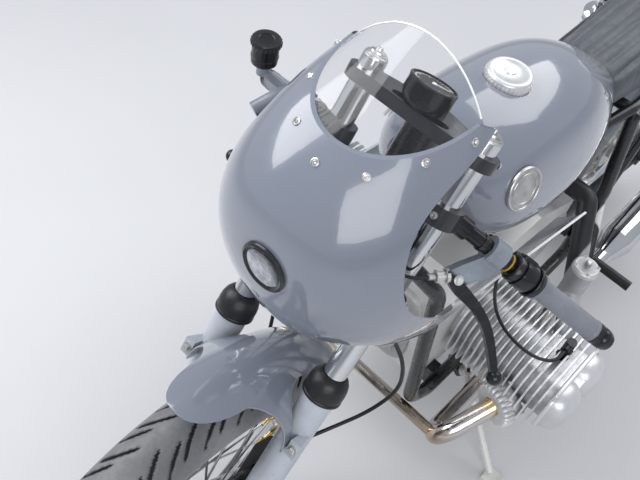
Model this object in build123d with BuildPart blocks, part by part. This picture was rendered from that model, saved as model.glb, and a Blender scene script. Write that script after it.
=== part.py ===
from build123d import *
import os
from math import cos, pi, radians, sin, tan

# Cafe racer motorcycle with a finned flat twin and a half fairing.
# It is modelled upright: X forward from the rear axle, Y to its left, Z up from the floor, in mm.
# At the end every piece is leaned onto the side stand and centred over the floor.

# Chassis layout
wheelbase = 1465.0
rake = 28.0                      # steering axis behind vertical
axle_offset = 27.0               # front axle ahead of the fork legs
yoke_offset = 42.0               # fork legs ahead of the steering axis
leg_spacing = 187.0
lean = 10.0                      # roll to the left when parked
seat_gap = 0.3                   # between soft or curved neighbours
fit = 0.05                       # radial clearance of a shaft in its bore

# Wheels
front_tyre_radius = 325.0
front_tyre_width = 100.0
front_rim_radius = 241.0
rear_tyre_radius = 318.0
rear_tyre_width = 116.0
rear_rim_radius = 228.6
rim_wall = 4.0
rim_flange = 13.0
rim_well = 15.0
spoke_count = 18                 # on each side of a hub
spoke_radius = 2.0
axle_radius = 8.5
axle_hollow = 5.0

# Brakes
disc_radius = 150.0
disc_thickness = 5.0
disc_inner_face = 56.0
disc_clearance = 1.5

# Fork, as heights along the legs above the axle
tube_radius = 18.0
slider_radius = 25.0
slider_top = 350.0
boot_height = 372.0
boot_radius = 32.5
lug_height = 277.0
lug_depth = 28.0
lug_inner = 12.0                 # inner face of the fender lug, outboard of the leg
lower_yoke_height = 555.0
upper_yoke_height = 765.0
clip_on_gap = 75.0               # middle of a bar clamp below the upper yoke
fork_top = 801.0
hose_thickness = 7.0
lower_yoke_depth = 26.0
upper_yoke_depth = 18.0
clamp_radius = 27.0
stem_radius = 15.0
head_radius = 28.0
head_clearance = 5.0             # between the steering head and each yoke

# Clip-on bars, in the frame of the fork
bar_radius = 11.0
bar_length = 290.0
bar_sweep = 37.2                 # back from straight out
bar_drop = 13.0                  # below the plane of the yokes
grip_radius = 16.5
grip_start = 154.0
grip_length = 118.0
bar_end_radius = 15.0
perch_start = 62.0
switch_start = 106.0
switch_length = 38.0
reservoir_centre = (1088.0, -262.0, 925.0)
reservoir_radius = 24.0
reservoir_height = 46.0

# Front fender
fender_clearance = 14.0          # tyre's crown to the fender's edges
fender_crown = 11.0              # rise of the crown above the edges
fender_half_width = 60.0
fender_wall = 3.0
fender_arc = 65.0                # from above the axle to the rear edge
fender_tip = 86.0                # length of the rounded front end
stay_thickness = 4.0
stay_top_angles = (10.0, 32.0)   # behind the top of the wheel

# Frame
cradle_tube = 14.0
rail_y = 130.0
rail_z = 205.0
rear_leg_y = 142.0
loop_tube = 12.0
backbone_tube = 20.0
stud_radius = 8.0
shock_y = 140.0
shock_top = (120.0, 712.0)
shock_foot = (-6.0, 350.0)
peg_centre = (490.0, 400.0)
peg_start = 212.0
peg_end = 305.0
peg_radius = 11.0
peg_stub = 7.0

# Engine
crank_x = 790.0
crank_z = 385.0
cylinder_stagger = 24.0          # right cylinder behind the left
case_half_width = 105.0
barrel_end = 262.0
barrel_radius = 62.0
barrel_fins = 11
barrel_fin_width = 168.0
barrel_fin_height = 156.0
head_end = 334.0
head_fins = 5
head_fin_width = 200.0
head_fin_height = 140.0
fin_thickness = 3.0
cover_end = 380.0
bolt_radius = 6.0
gearbox_rear = 450.0

# Exhaust and intake
header_radius = 19.0
header_bend = 40.0
header_y = 200.0
header_z = 205.0
port_radius = 20.0
nut_radius = 40.0
nut_length = 30.0
nut_slots = 14
nut_clearance = 3.0
plug_offset = 14.0               # plug behind the middle of its cylinder
plug_y = 298.0
plug_floor = 40.0                # bottom of the plug's pocket above the cylinder's axis
plug_cap_radius = 10.0
lead_thickness = 6.5
silencer_radius = 42.0
hose_radius = 20.0
air_box_half_width = 75.0

# Tank, with round pockets for its cap and badges
cap_centre = (840.0, 0.0)
cap_radius = 34.0
cap_seat = 928.0
badge_centre = (916.0, 119.0, 847.0)
badge_normal = (0.17, 0.92, 0.35)
badge_radius = 36.0
tunnel_half_width = 32.0

# Fairing and screen
fairing_wall = 3.5
screen_wall = 3.0
nose_x = 1338.0
lamp_radius = 31.0
lamp_z = 899.0
lamp_back = 1306.0
fork_opening = 134.0             # half width of the open underside
crossbar = (1282.0, 128.8)         # place along the bike, half length
coil_centre = (800.0, 600.0)
coil_radius = 21.0
coil_half = 46.0

# Side stand
stand_pivot = (781.0, 159.0, 191.0)
stand_direction = (43.0, 97.0, -69.0)
stand_folded = (-271.0, 39.0, -67.0)
stand_tube_radius = 8.0
stand_eye_radius = 12.0
stand_eye_half = 9.0
stand_pin_radius = 5.0
stand_foot = 36.0

front_axle = Vector(wheelbase, 0, front_tyre_radius)
rear_axle = Vector(0, 0, rear_tyre_radius)
up_fork = Vector(-sin(radians(rake)), 0, cos(radians(rake)))
ahead_fork = Vector(cos(radians(rake)), 0, sin(radians(rake)))
leg_base = front_axle - ahead_fork * axle_offset
half_spacing = leg_spacing / 2
clip_on_height = upper_yoke_height - clip_on_gap

pieces = {}


def keep(piece, label):
    """Name a finished piece and keep it for the parked bike."""
    piece.part.label = label
    pieces[label] = piece.part


def fork_plane(height):
    """Plane across the fork legs: x forward, y to the left, z up the legs."""
    return Plane(origin=leg_base + up_fork * height, x_dir=ahead_fork, z_dir=up_fork)


def fork_point(height, forward=0.0, left=0.0):
    return leg_base + up_fork * height + ahead_fork * forward + Vector(0, left, 0)


def wheel_plane(axle, back=0.0):
    """Plane of a wheel's section: x along the axle, y up the radius, turned back by an angle."""
    turn = radians(back)
    return Plane(origin=axle, x_dir=(0, 1, 0), z_dir=(cos(turn), 0, sin(turn)))


def rod(start, end, radius):
    """Straight round bar between two points, for use inside a part block."""
    start = Vector(*start)
    direction = Vector(*end) - start
    with BuildSketch(Plane(origin=start, z_dir=direction)) as section:
        Circle(radius)
    extrude(section.sketch, amount=direction.length)


def bore(start, end, radius):
    """Straight round hole between two points, for use inside a part block."""
    start = Vector(*start)
    direction = Vector(*end) - start
    with BuildSketch(Plane(origin=start, z_dir=direction)) as section:
        Circle(radius)
    extrude(section.sketch, amount=direction.length, mode=Mode.SUBTRACT)


def tube(path_points, bend_radius, radius):
    """Round bar swept along straights with bends, for use inside a part block."""
    with BuildLine() as path:
        FilletPolyline(*path_points, radius=bend_radius)
    with BuildSketch(Plane(origin=path.line @ 0, z_dir=path.line % 0)) as section:
        Circle(radius)
    sweep(section.sketch, path=path.line)


def cord(path_points, thickness, name):
    """Hose or cable on runs joined by arcs as large as the shorter run allows, in a block of its own."""
    points = [Vector(*point) for point in path_points]
    radii = []
    for before, corner, after in zip(points, points[1:], points[2:]):
        turn = (corner - before).get_angle(after - corner)
        shorter = min((corner - before).length, (after - corner).length)
        radii.append(0.45 * shorter / tan(radians(turn) / 2))
    print(name, "radii", [round(radius, 1) for radius in radii])
    with BuildPart() as line:
        with BuildLine() as path:
            FilletPolyline(*points, radius=radii)
        with BuildSketch(Plane(origin=path.line @ 0, z_dir=path.line % 0)) as section:
            Circle(thickness / 2)
        sweep(section.sketch, path=path.line)
    expected = pi * thickness**2 / 4 * sum(edge.length for edge in path.edges())
    print(name, "volume", round(line.part.volume), "of", round(expected))
    return line.part


def plate(corners, thickness):
    """Flat plate through a ring of points, for use inside a part block."""
    first, second, third = [Vector(*corner) for corner in corners[:3]]
    middle = Plane(origin=first, x_dir=second - first, z_dir=(second - first).cross(third - first))
    flat = [middle.to_local_coords(Vector(*corner)) for corner in corners]
    with BuildSketch(middle) as outline:
        with BuildLine():
            Polyline(*[(point.X, point.Y) for point in flat], close=True)
        make_face()
    extrude(outline.sketch, amount=thickness / 2, both=True)


def on_side(points, side):
    """The same points on the left or on the right of the bike."""
    return [(x, side * y, z) for x, y, z in points]


def egg(section):
    """Outline of two half ellipses on a plane across the bike at x."""
    x, half_width, bottom, widest, top = section
    with BuildSketch(Plane(origin=(x, 0, widest), x_dir=(0, 1, 0), z_dir=(1, 0, 0))) as outline:
        with BuildLine():
            EllipticalCenterArc((0, 0), half_width, top - widest, start_angle=0, arc_size=180)
            EllipticalCenterArc((0, 0), half_width, widest - bottom, start_angle=180, arc_size=180)
        make_face()
    return outline.sketch


def loaf(section):
    """Outline with a flat bottom, upright sides and a half ellipse on top, across the bike at x."""
    x, half_width, bottom, shoulder, top = section
    with BuildSketch(Plane(origin=(x, 0, shoulder), x_dir=(0, 1, 0), z_dir=(1, 0, 0))) as outline:
        with BuildLine():
            EllipticalCenterArc((0, 0), half_width, top - shoulder, start_angle=0, arc_size=180)
            Polyline((-half_width, 0), (-half_width, bottom - shoulder), (half_width, bottom - shoulder),
                     (half_width, 0))
        make_face()
    return outline.sketch


# Wheels: name, axle, tyre radius, tyre width, rim radius, half rim width, hub flange radius, half hub
wheels = [
    ("front", front_axle, front_tyre_radius, front_tyre_width, front_rim_radius, 28.0, 48.0, 45.0),
    ("rear", rear_axle, rear_tyre_radius, rear_tyre_width, rear_rim_radius, 32.0, 78.0, 48.0),
]
hub_half_length = {}
lacing = 38.0                    # turn of a spoke's root round the hub
flange_width = 8.0

for name, axle, tyre_radius, tyre_width, rim_radius, half_rim, flange_radius, half_hub in wheels:
    axle_line = Axis(origin=axle, direction=(0, 1, 0))
    crown = tyre_width / 2
    hub_half_length[name] = half_hub
    bead = rim_radius + rim_flange + 1
    lip = half_rim + rim_wall

    with BuildPart() as tyre:
        with BuildSketch(wheel_plane(axle)):
            with BuildLine():
                ThreePointArc((crown, tyre_radius - crown), (0, tyre_radius), (-crown, tyre_radius - crown))
                Polyline(
                    (-crown, tyre_radius - crown),
                    (-lip - 2, bead + 1),
                    (-half_rim + seat_gap, bead),
                    (-half_rim + seat_gap, rim_radius + seat_gap),
                    (half_rim - seat_gap, rim_radius + seat_gap),
                    (half_rim - seat_gap, bead),
                    (lip + 2, bead + 1),
                    (crown, tyre_radius - crown),
                )
            make_face()
        revolve(axis=axle_line)
    keep(tyre, f"{name}_tyre")

    well_outer = rim_radius - rim_well
    well_inner = well_outer - rim_wall
    with BuildPart() as rim:
        with BuildSketch(wheel_plane(axle)):
            with BuildLine():
                Polyline(
                    (-lip, rim_radius + rim_flange),
                    (-half_rim, rim_radius + rim_flange),
                    (-half_rim, rim_radius),
                    (-half_rim + 10, rim_radius - rim_wall),
                    (-half_rim + 15, well_outer),
                    (half_rim - 15, well_outer),
                    (half_rim - 10, rim_radius - rim_wall),
                    (half_rim, rim_radius),
                    (half_rim, rim_radius + rim_flange),
                    (lip, rim_radius + rim_flange),
                    (lip, rim_radius - rim_wall),
                    (half_rim - 6, rim_radius - 2 * rim_wall),
                    (half_rim - 11, well_inner),
                    (-half_rim + 11, well_inner),
                    (-half_rim + 6, rim_radius - 2 * rim_wall),
                    (-lip, rim_radius - rim_wall),
                    close=True,
                )
            make_face()
        revolve(axis=axle_line)
    keep(rim, f"{name}_rim")

    # Hub with laced spokes, each spoke crossing its neighbours on the way to the rim
    spoke_end = well_inner - seat_gap - 0.35 * spoke_radius
    flange_outer = half_hub - flange_width
    spoke_root_y = flange_outer - flange_width / 2
    barrel = flange_radius * 0.6
    with BuildPart() as hub:
        with BuildSketch(wheel_plane(axle)):
            with BuildLine():
                Polyline(
                    (-half_hub, axle_radius + fit),
                    (-half_hub, barrel),
                    (-flange_outer, barrel),
                    (-flange_outer, flange_radius),
                    (-flange_outer + flange_width, flange_radius),
                    (-flange_outer + 2 * flange_width, barrel),
                    (flange_outer - 2 * flange_width, barrel),
                    (flange_outer - flange_width, flange_radius),
                    (flange_outer, flange_radius),
                    (flange_outer, barrel),
                    (half_hub, barrel),
                    (half_hub, axle_radius + fit),
                    close=True,
                )
            make_face()
        revolve(axis=axle_line)
        root_radius = flange_radius - 2 * spoke_radius
        for side in (-1, 1):
            for index in range(spoke_count):
                angle = 2 * pi * (index + 0.25 * side) / spoke_count
                turn = radians(lacing) * (1 if index % 2 else -1)
                root = axle + Vector(
                    root_radius * cos(angle + turn), side * spoke_root_y, root_radius * sin(angle + turn)
                )
                tip = axle + Vector(spoke_end * cos(angle), side * 6.0, spoke_end * sin(angle))
                rod(root, tip, spoke_radius)
    keep(hub, f"{name}_hub")

# Front brake discs, each with an open carrier beside the hub
carrier_start = hub_half_length["front"] + seat_gap
carrier_hole = axle_radius + 12
with BuildPart() as discs:
    for side in (-1, 1):
        with BuildSketch(Plane(origin=front_axle + Vector(0, side * disc_inner_face, 0), x_dir=(1, 0, 0),
                               z_dir=(0, side, 0))):
            Circle(disc_radius)
            Circle(carrier_hole, mode=Mode.SUBTRACT)
            with PolarLocations(80, 5):
                SlotOverall(48, 32, rotation=90, mode=Mode.SUBTRACT)
        extrude(amount=disc_thickness)
        with BuildSketch(Plane(origin=front_axle + Vector(0, side * carrier_start, 0), x_dir=(1, 0, 0),
                               z_dir=(0, side, 0))):
            Circle(38)
            Circle(carrier_hole, mode=Mode.SUBTRACT)
        extrude(amount=disc_inner_face - carrier_start)
keep(discs, "front_brake_discs")

# Calipers behind the legs, each slotted for its disc
caliper_centre = (-60.0, 115.0)          # behind the leg and up it
caliper_length = 96.0
caliper_depth = 56.0
caliper_width = 44.0
disc_y = disc_inner_face + disc_thickness / 2
with BuildPart() as calipers:
    for side in (1, -1):
        with BuildSketch(fork_plane(caliper_centre[1] - caliper_length / 2)):
            with Locations((caliper_centre[0], side * disc_y)):
                RectangleRounded(caliper_depth, caliper_width, 8)
        extrude(amount=caliper_length)
        slot_half = disc_thickness / 2 + disc_clearance
        bore(front_axle + Vector(0, side * disc_y - slot_half, 0), front_axle + Vector(0, side * disc_y + slot_half, 0),
             disc_radius + 3)
keep(calipers, "brake_calipers")

# Fork tubes and legs
tube_bottom = slider_top - 60.0
with BuildPart() as fork_tubes:
    for side in (1, -1):
        with BuildSketch(fork_plane(tube_bottom)):
            with Locations((0, side * half_spacing)):
                Circle(tube_radius)
        extrude(amount=fork_top - tube_bottom)
keep(fork_tubes, "fork_tubes")

axle_boss_half = 24.0
caliper_lug_y = disc_y + caliper_width / 2 + seat_gap
with BuildPart() as fork_legs:
    for side in (1, -1):
        leg_y = side * half_spacing
        with BuildSketch(fork_plane(-26)):
            with Locations((0, leg_y)):
                Circle(slider_radius)
        extrude(amount=slider_top + 26)
        rod(front_axle + Vector(0, leg_y - axle_boss_half, 0), front_axle + Vector(0, leg_y + axle_boss_half, 0), 24)
        # fender lug, a post with its tip ahead of the leg
        with BuildSketch(fork_plane(lug_height - lug_depth / 2)):
            with BuildLine():
                Polyline(
                    (0, leg_y + side * 4), (10, leg_y + side * 24), (41, leg_y + side * 30),
                    (41, leg_y + side * lug_inner), (24, leg_y + side * lug_inner), (14, leg_y), close=True,
                )
            make_face()
        extrude(amount=lug_depth)
        # lugs beside the caliper
        for height in (caliper_centre[1] - 35, caliper_centre[1] + 13):
            with BuildSketch(fork_plane(height)):
                with Locations((-45, side * (caliper_lug_y + 6))):
                    RectangleRounded(70, 12, 5)
            extrude(amount=22)
        bore(fork_point(tube_bottom - seat_gap, 0, leg_y), fork_point(slider_top + 1, 0, leg_y), tube_radius + fit)
    bore(front_axle + Vector(0, -leg_spacing, 0), front_axle + Vector(0, leg_spacing, 0), axle_radius + fit)
keep(fork_legs, "fork_legs")

with BuildPart() as fork_boots:
    for side in (1, -1):
        leg_y = side * half_spacing
        inner = slider_radius + seat_gap
        neck = tube_radius + seat_gap
        with BuildSketch(Plane(origin=leg_base + Vector(0, leg_y, 0), x_dir=ahead_fork, z_dir=(0, -1, 0))):
            with BuildLine():
                Polyline((inner, slider_top - 16), (boot_radius - 1, slider_top - 16), (boot_radius, boot_height - 6))
                ThreePointArc((boot_radius, boot_height - 6), (boot_radius - 5, boot_height + 14),
                              (neck + 3, boot_height + 27))
                Polyline(
                    (neck + 3, boot_height + 27), (neck, boot_height + 27), (neck, slider_top + seat_gap),
                    (inner, slider_top + seat_gap), (inner, slider_top - 16),
                )
            make_face()
        revolve(axis=Axis(origin=leg_base + Vector(0, leg_y, 0), direction=up_fork))
keep(fork_boots, "fork_boots")

# Yokes: the lower one carries the stem
with BuildPart() as lower_yoke:
    with BuildSketch(fork_plane(lower_yoke_height - lower_yoke_depth)):
        with Locations((0, half_spacing), (0, -half_spacing), (-yoke_offset, 0)):
            Circle(clamp_radius)
        make_hull()
        with Locations((0, half_spacing), (0, -half_spacing)):
            Circle(tube_radius + fit, mode=Mode.SUBTRACT)
    extrude(amount=lower_yoke_depth)
    rod(fork_point(lower_yoke_height, -yoke_offset), fork_point(upper_yoke_height, -yoke_offset), stem_radius)
keep(lower_yoke, "lower_yoke")

upper_yoke_top = upper_yoke_height + upper_yoke_depth
with BuildPart() as upper_yoke:
    with BuildSketch(fork_plane(upper_yoke_height)):
        with Locations((0, half_spacing), (0, -half_spacing), (-yoke_offset, 0)):
            Circle(clamp_radius)
        make_hull()
        with Locations((0, half_spacing), (0, -half_spacing)):
            Circle(tube_radius + fit, mode=Mode.SUBTRACT)
        with Locations((10, 0)):
            SlotOverall(90, 26, rotation=90, mode=Mode.SUBTRACT)
    extrude(amount=upper_yoke_depth)
    with BuildSketch(fork_plane(upper_yoke_top)):
        with Locations((-yoke_offset, 0)):
            RegularPolygon(radius=16, side_count=6)
    extrude(amount=10)
keep(upper_yoke, "upper_yoke")

with BuildPart() as gauge:
    with BuildSketch(fork_plane(upper_yoke_top + seat_gap)):
        with Locations((12, 0)):
            Circle(34)
    extrude(amount=38)
keep(gauge, "gauge")

# Hollow front axle with a collar on each side of the hub and a nut on the right
leg_outer = half_spacing + axle_boss_half
with BuildPart() as front_axle_bar:
    rod(front_axle + Vector(0, -leg_outer - 12, 0), front_axle + Vector(0, leg_outer + 6, 0), axle_radius)
    for side in (1, -1):
        rod(front_axle + Vector(0, side * carrier_start, 0),
            front_axle + Vector(0, side * (half_spacing - axle_boss_half - seat_gap), 0), axle_radius + 5)
    with BuildSketch(Plane(origin=front_axle + Vector(0, -leg_outer - seat_gap, 0), z_dir=(0, -1, 0))):
        RegularPolygon(radius=15, side_count=6)
    extrude(amount=10)
    bore(front_axle + Vector(0, -leg_spacing, 0), front_axle + Vector(0, leg_spacing, 0), axle_hollow)
keep(front_axle_bar, "front_axle")

# Front fender: a crowned strip with a rounded tip over the tyre and a stay to each lug
fender_edge = front_tyre_radius + fender_clearance
with BuildPart() as front_fender:
    with BuildSketch(wheel_plane(front_axle)):
        with BuildLine():
            ThreePointArc((-fender_half_width, fender_edge), (0, fender_edge + fender_crown + fender_wall),
                          (fender_half_width, fender_edge))
            Line((fender_half_width, fender_edge), (fender_half_width - fender_wall, fender_edge - 1))
            ThreePointArc((fender_half_width - fender_wall, fender_edge - 1), (0, fender_edge + fender_crown),
                          (-fender_half_width + fender_wall, fender_edge - 1))
            Line((-fender_half_width + fender_wall, fender_edge - 1), (-fender_half_width, fender_edge))
        make_face()
    revolve(axis=Axis(origin=front_axle, direction=(0, -1, 0)), revolution_arc=fender_arc)
    tip_start = wheelbase - fender_tip
    with BuildSketch(Plane.XY.offset(front_axle.Z + fender_edge - 60)):
        with Locations((tip_start + fender_tip, 0)):
            Rectangle(2 * fender_tip, 3 * fender_half_width)
        with Locations((tip_start, 0)):
            Ellipse(fender_tip, fender_half_width + 1, mode=Mode.SUBTRACT)
    extrude(amount=120, mode=Mode.SUBTRACT)
    for side in (1, -1):
        stay_top = [
            front_axle + Vector(-fender_edge * sin(radians(turn)), side * (fender_half_width - 2),
                                fender_edge * cos(radians(turn)))
            for turn in stay_top_angles
        ]
        stay_y = side * (half_spacing + lug_inner - seat_gap - stay_thickness / 2)
        rear_foot, front_foot = [fork_point(lug_height - 12, forward, stay_y) for forward in (30.0, 48.0)]
        rear_waist = rear_foot + (stay_top[1] - rear_foot) * 0.6 + (stay_top[0] - stay_top[1]) * 0.2
        front_waist = front_foot + (stay_top[0] - front_foot) * 0.6 + (stay_top[1] - stay_top[0]) * 0.2
        plate([stay_top[0], stay_top[1], rear_waist, rear_foot, front_foot, front_waist], stay_thickness)
keep(front_fender, "front_fender")

# Clip-on bars, grips, bar ends, switch blocks and levers
gland_foot = (44.0, 57.0)        # along the bar and out from it
gland_length = 24.0
gland_angle = 40.0               # forward of the bar's line
gland_radius = 6.0
cable_thickness = 5.0
master_cylinder = ((1080.0, -214.0, 884.0), (1132.0, -232.0, 861.0))
master_radius = 12.0
sweep_angle = radians(bar_sweep)
drop_angle = radians(bar_drop)


def bar_direction(side):
    """Along a bar from its clamp to its end."""
    return (
        ahead_fork * (-sin(sweep_angle) * cos(drop_angle))
        + Vector(0, side * cos(sweep_angle) * cos(drop_angle), 0)
        + up_fork * (-sin(drop_angle))
    )


def bar_point(side, distance):
    return fork_point(clip_on_height - 5, -17.0, side * (half_spacing + 16.5)) + bar_direction(side) * distance


def lever_direction(side):
    """Square to a bar, from the bar towards the middle of its lever."""
    reach = Vector(0.787, side * 0.042, -0.616)
    along = bar_direction(side)
    return (reach - along * reach.dot(along)).normalized()


def gland_point(side, distance):
    """On the line of a lever's cable, at a distance from the perch."""
    angle = radians(gland_angle)
    away = lever_direction(side) * sin(angle) - bar_direction(side) * cos(angle)
    return bar_point(side, gland_foot[0]) + lever_direction(side) * gland_foot[1] + away * distance


def bar_plane(side, distance):
    return Plane(origin=bar_point(side, distance), x_dir=lever_direction(side), z_dir=bar_direction(side))


with BuildPart() as clip_on_bars:
    for side in (1, -1):
        leg_y = side * half_spacing
        rod(fork_point(clip_on_height - 14, 0, leg_y), fork_point(clip_on_height + 14, 0, leg_y), clamp_radius)
        rod(bar_point(side, -4), bar_point(side, 22), bar_radius + 4)
        rod(bar_point(side, 0), bar_point(side, bar_length), bar_radius)
        bore(fork_point(clip_on_height - 40, 0, leg_y), fork_point(clip_on_height + 40, 0, leg_y),
             tube_radius + fit)
keep(clip_on_bars, "clip_on_bars")

with BuildPart() as grips:
    for side in (1, -1):
        with BuildSketch(bar_plane(side, grip_start)):
            Circle(grip_radius)
            Circle(bar_radius + fit, mode=Mode.SUBTRACT)
        extrude(amount=grip_length)
keep(grips, "grips")

with BuildPart() as bar_ends:
    for side in (1, -1):
        rod(bar_point(side, bar_length + seat_gap), bar_point(side, bar_length + 14), bar_end_radius)
keep(bar_ends, "bar_ends")

with BuildPart() as switch_blocks:
    for side in (1, -1):
        with BuildSketch(bar_plane(side, switch_start)):
            RectangleRounded(42, 40, 12)
            Circle(bar_radius + fit, mode=Mode.SUBTRACT)
        extrude(amount=switch_length)
keep(switch_blocks, "switch_blocks")

reservoir_foot = Vector(*reservoir_centre) - Vector(0, 0, reservoir_height / 2 + seat_gap)
with BuildPart() as levers:
    for side in (1, -1):
        lever_plane = Plane(origin=bar_point(side, 0), x_dir=bar_direction(side),
                            z_dir=bar_direction(side).cross(lever_direction(side)))
        rod(bar_point(side, perch_start), bar_point(side, perch_start + 26), bar_radius + 8)
        with BuildSketch(lever_plane.offset(-9)):
            with BuildLine():
                Polyline((62, 12), (88, 12), (84, 34), (62, 60), (40, 66), (32, 58), (44, 38), close=True)
            make_face()
        extrude(amount=18)
        with BuildSketch(lever_plane.offset(-5)):
            with BuildLine():
                Spline((40, 52), (66, 57), (100, 65), (130, 77), (160, 99), (192, 129))
                Line((192, 129), (184, 135))
                Spline((184, 135), (152, 108), (124, 89), (94, 79), (62, 75), (42, 67))
                Line((42, 67), (40, 52))
            make_face()
            with Locations((192, 135)):
                Circle(9)
        extrude(amount=10)
        if side > 0:
            rod(gland_point(side, 0), gland_point(side, gland_length), gland_radius)
        else:
            rod(bar_point(side, perch_start + 13), reservoir_foot - Vector(0, 0, 10), 7)
            rod(reservoir_foot - Vector(0, 0, 14), reservoir_foot, 10)
            rod(master_cylinder[0], master_cylinder[1], master_radius)
        bore(bar_point(side, perch_start - 60), bar_point(side, perch_start + 60), bar_radius + fit)
keep(levers, "control_levers")

with BuildPart() as reservoir:
    with Locations(Location(reservoir_centre)):
        Cylinder(reservoir_radius, reservoir_height)
    with Locations(Location(Vector(*reservoir_centre) + Vector(0, 0, reservoir_height / 2 + 3))):
        Cylinder(reservoir_radius + 2, 8)
keep(reservoir, "brake_reservoir")

# Cords that turn with the fork: clutch cable to the lower yoke, a brake hose from each caliper
cable_start = gland_point(1, gland_length)
cable_foot = fork_point(lower_yoke_height, 0, 34)
clutch_cable = cord([
    cable_start, gland_point(1, gland_length + 38), (1197, 82, 872), (1185, 52, 867), cable_foot + up_fork * 40, cable_foot,
], cable_thickness, "clutch cable")

brake_hoses = []
for side in (1, -1):
    hose_start = fork_point(caliper_centre[1] + 15, caliper_centre[0] - caliper_depth / 2, side * disc_y)
    hose_foot = fork_point(lower_yoke_height - lower_yoke_depth, -8, side * 52)
    brake_hoses.append(cord([
        hose_start, hose_start - ahead_fork * 55, (1190, side * 86, 372), (1132, side * 122, 418),
        (1104, side * 144, 495), (1112, side * 134, 580), (1138, side * 102, 660), hose_foot - up_fork * 55, hose_foot,
    ], hose_thickness, "brake hose"))
for label, cords in (("clutch_cable", [clutch_cable]), ("brake_hoses", brake_hoses)):
    with BuildPart() as held_cords:
        add(cords)
    keep(held_cords, label)

# Frame: head, backbone, cradle loops, rear loop, studs and brackets
head_bottom = lower_yoke_height + head_clearance
head_top = upper_yoke_height - head_clearance
head_low = fork_point(head_bottom + 25, -yoke_offset - 16, 0)
backbone_start = fork_point(650, -yoke_offset, 0)
backbone_bend = (800.0, 0.0, 775.0)
backbone_end = (505.0, 0.0, 725.8)
cradle = [
    (head_low.X, 20, head_low.Z), (1010, 104, 640), (965, 126, 260), (890, rail_y, rail_z),
    (520, rail_y, rail_z), (425, rear_leg_y, 300), (408, rear_leg_y, 500), (400, 110, 690),
]
rear_loop = [(560, 60, 665), (400, 100, 705), (120, 104, 722), (-90, 90, 750)]
hinge_line = Vector(*stand_direction).cross(Vector(*stand_folded)).normalized()
stand_hinge = Vector(*stand_pivot)
rail_from_pivot = Vector(stand_pivot[0], rail_y, rail_z) - stand_hinge
lug_line = rail_from_pivot - hinge_line * rail_from_pivot.dot(hinge_line)
# engine lugs: x, bottom and top of the lug, height of its bolt
engine_lugs = [(865.0, rail_z, 252.0, 238.0), (575.0, rail_z, 296.0, 280.0)]
bracket_end = lamp_back - seat_gap
with BuildPart() as frame:
    rod(fork_point(head_bottom, -yoke_offset), fork_point(head_top, -yoke_offset), head_radius)
    tube([backbone_start, backbone_bend, backbone_end], 120, backbone_tube)
    for side in (1, -1):
        tube(on_side(cradle, side), 55, cradle_tube)
        tube(on_side(rear_loop, side), 60, loop_tube)
        rod((405, side * rear_leg_y, 500), (130, side * 108, 722), 10)
        rod((shock_top[0], side * 100, shock_top[1]), (shock_top[0], side * (shock_y + 16), shock_top[1]), stud_radius)
        for x, low, high, bolt_z in engine_lugs:
            lug_face = Plane(origin=(x, side * (case_half_width + seat_gap), (low + high) / 2),
                             x_dir=(1, 0, 0), z_dir=(0, side, 0))
            with BuildSketch(lug_face):
                Rectangle(30, high - low)
            extrude(amount=rail_y - case_half_width - 6)
        # footrest hanger
        hanger = (peg_centre[0], side * (peg_start - 10), peg_centre[1])
        rod((409, side * (rear_leg_y + 4), 480), hanger, 10)
        rod((421, side * (rear_leg_y + 4), 320), hanger, 10)
        with Locations(Location(hanger)):
            Sphere(10)
        rod(hanger, (peg_centre[0], side * (peg_end - 6), peg_centre[1]), peg_stub)
    for x, low, high, bolt_z in engine_lugs:
        rod((x, -rail_y + 8, bolt_z), (x, rail_y - 8, bolt_z), bolt_radius)
    rod((-84, -92, 749), (-84, 92, 749), loop_tube)
    rod((400, -110, 700), (400, 110, 700), loop_tube)
    rod((558, -62, 665), (558, 62, 665), loop_tube)
    rod((558, 0, 665), (558, 0, 735), loop_tube)
    rod((shock_top[0], -104, 722), (shock_top[0], 104, 722), 10)
    rod((760, 0, 765), (760, 0, 556 + seat_gap), 12)
    # bracket of the fairing
    tube([fork_point(640, -yoke_offset), (1225, 0, lamp_z), (bracket_end, 0, lamp_z)], 40, 8)
    rod((bracket_end - 4, 0, lamp_z), (bracket_end, 0, lamp_z), 24)
    rod((crossbar[0], -crossbar[1], lamp_z), (crossbar[0], crossbar[1], lamp_z), 6)
    # bracket of the ignition coil
    rod((760, 0, coil_centre[1]), (coil_centre[0] - coil_radius - seat_gap, 0, coil_centre[1]), 7)
    # post down to the rear fender
    rear_fender_top = rear_tyre_radius + 60.0
    post = (Vector(shock_top[0], 0, 722) - rear_axle).normalized()
    rod(rear_axle + post * (rear_fender_top + seat_gap), (shock_top[0], 0, 722), 8)
    # lug and pin of the side stand
    with BuildSketch(Plane(origin=stand_hinge - hinge_line * (stand_eye_half + seat_gap), x_dir=lug_line,
                           z_dir=-hinge_line)):
        with Locations((lug_line.length / 2, 0)):
            SlotCenterToCenter(lug_line.length, 2 * stand_eye_radius)
    extrude(amount=12)
    rod(stand_hinge - hinge_line * 14, stand_hinge + hinge_line * (stand_eye_half + 2), stand_pin_radius)
    bore(fork_point(head_bottom - 1, -yoke_offset), fork_point(head_top + 1, -yoke_offset), stem_radius + fit)
keep(frame, "frame")

with BuildPart() as footrests:
    for side in (1, -1):
        rod((peg_centre[0], side * peg_start, peg_centre[1]), (peg_centre[0], side * peg_end, peg_centre[1]),
            peg_radius)
        bore((peg_centre[0], side * (peg_start - 1), peg_centre[1]),
             (peg_centre[0], side * (peg_end - 5), peg_centre[1]), peg_stub + fit)
keep(footrests, "footrests")

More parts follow.
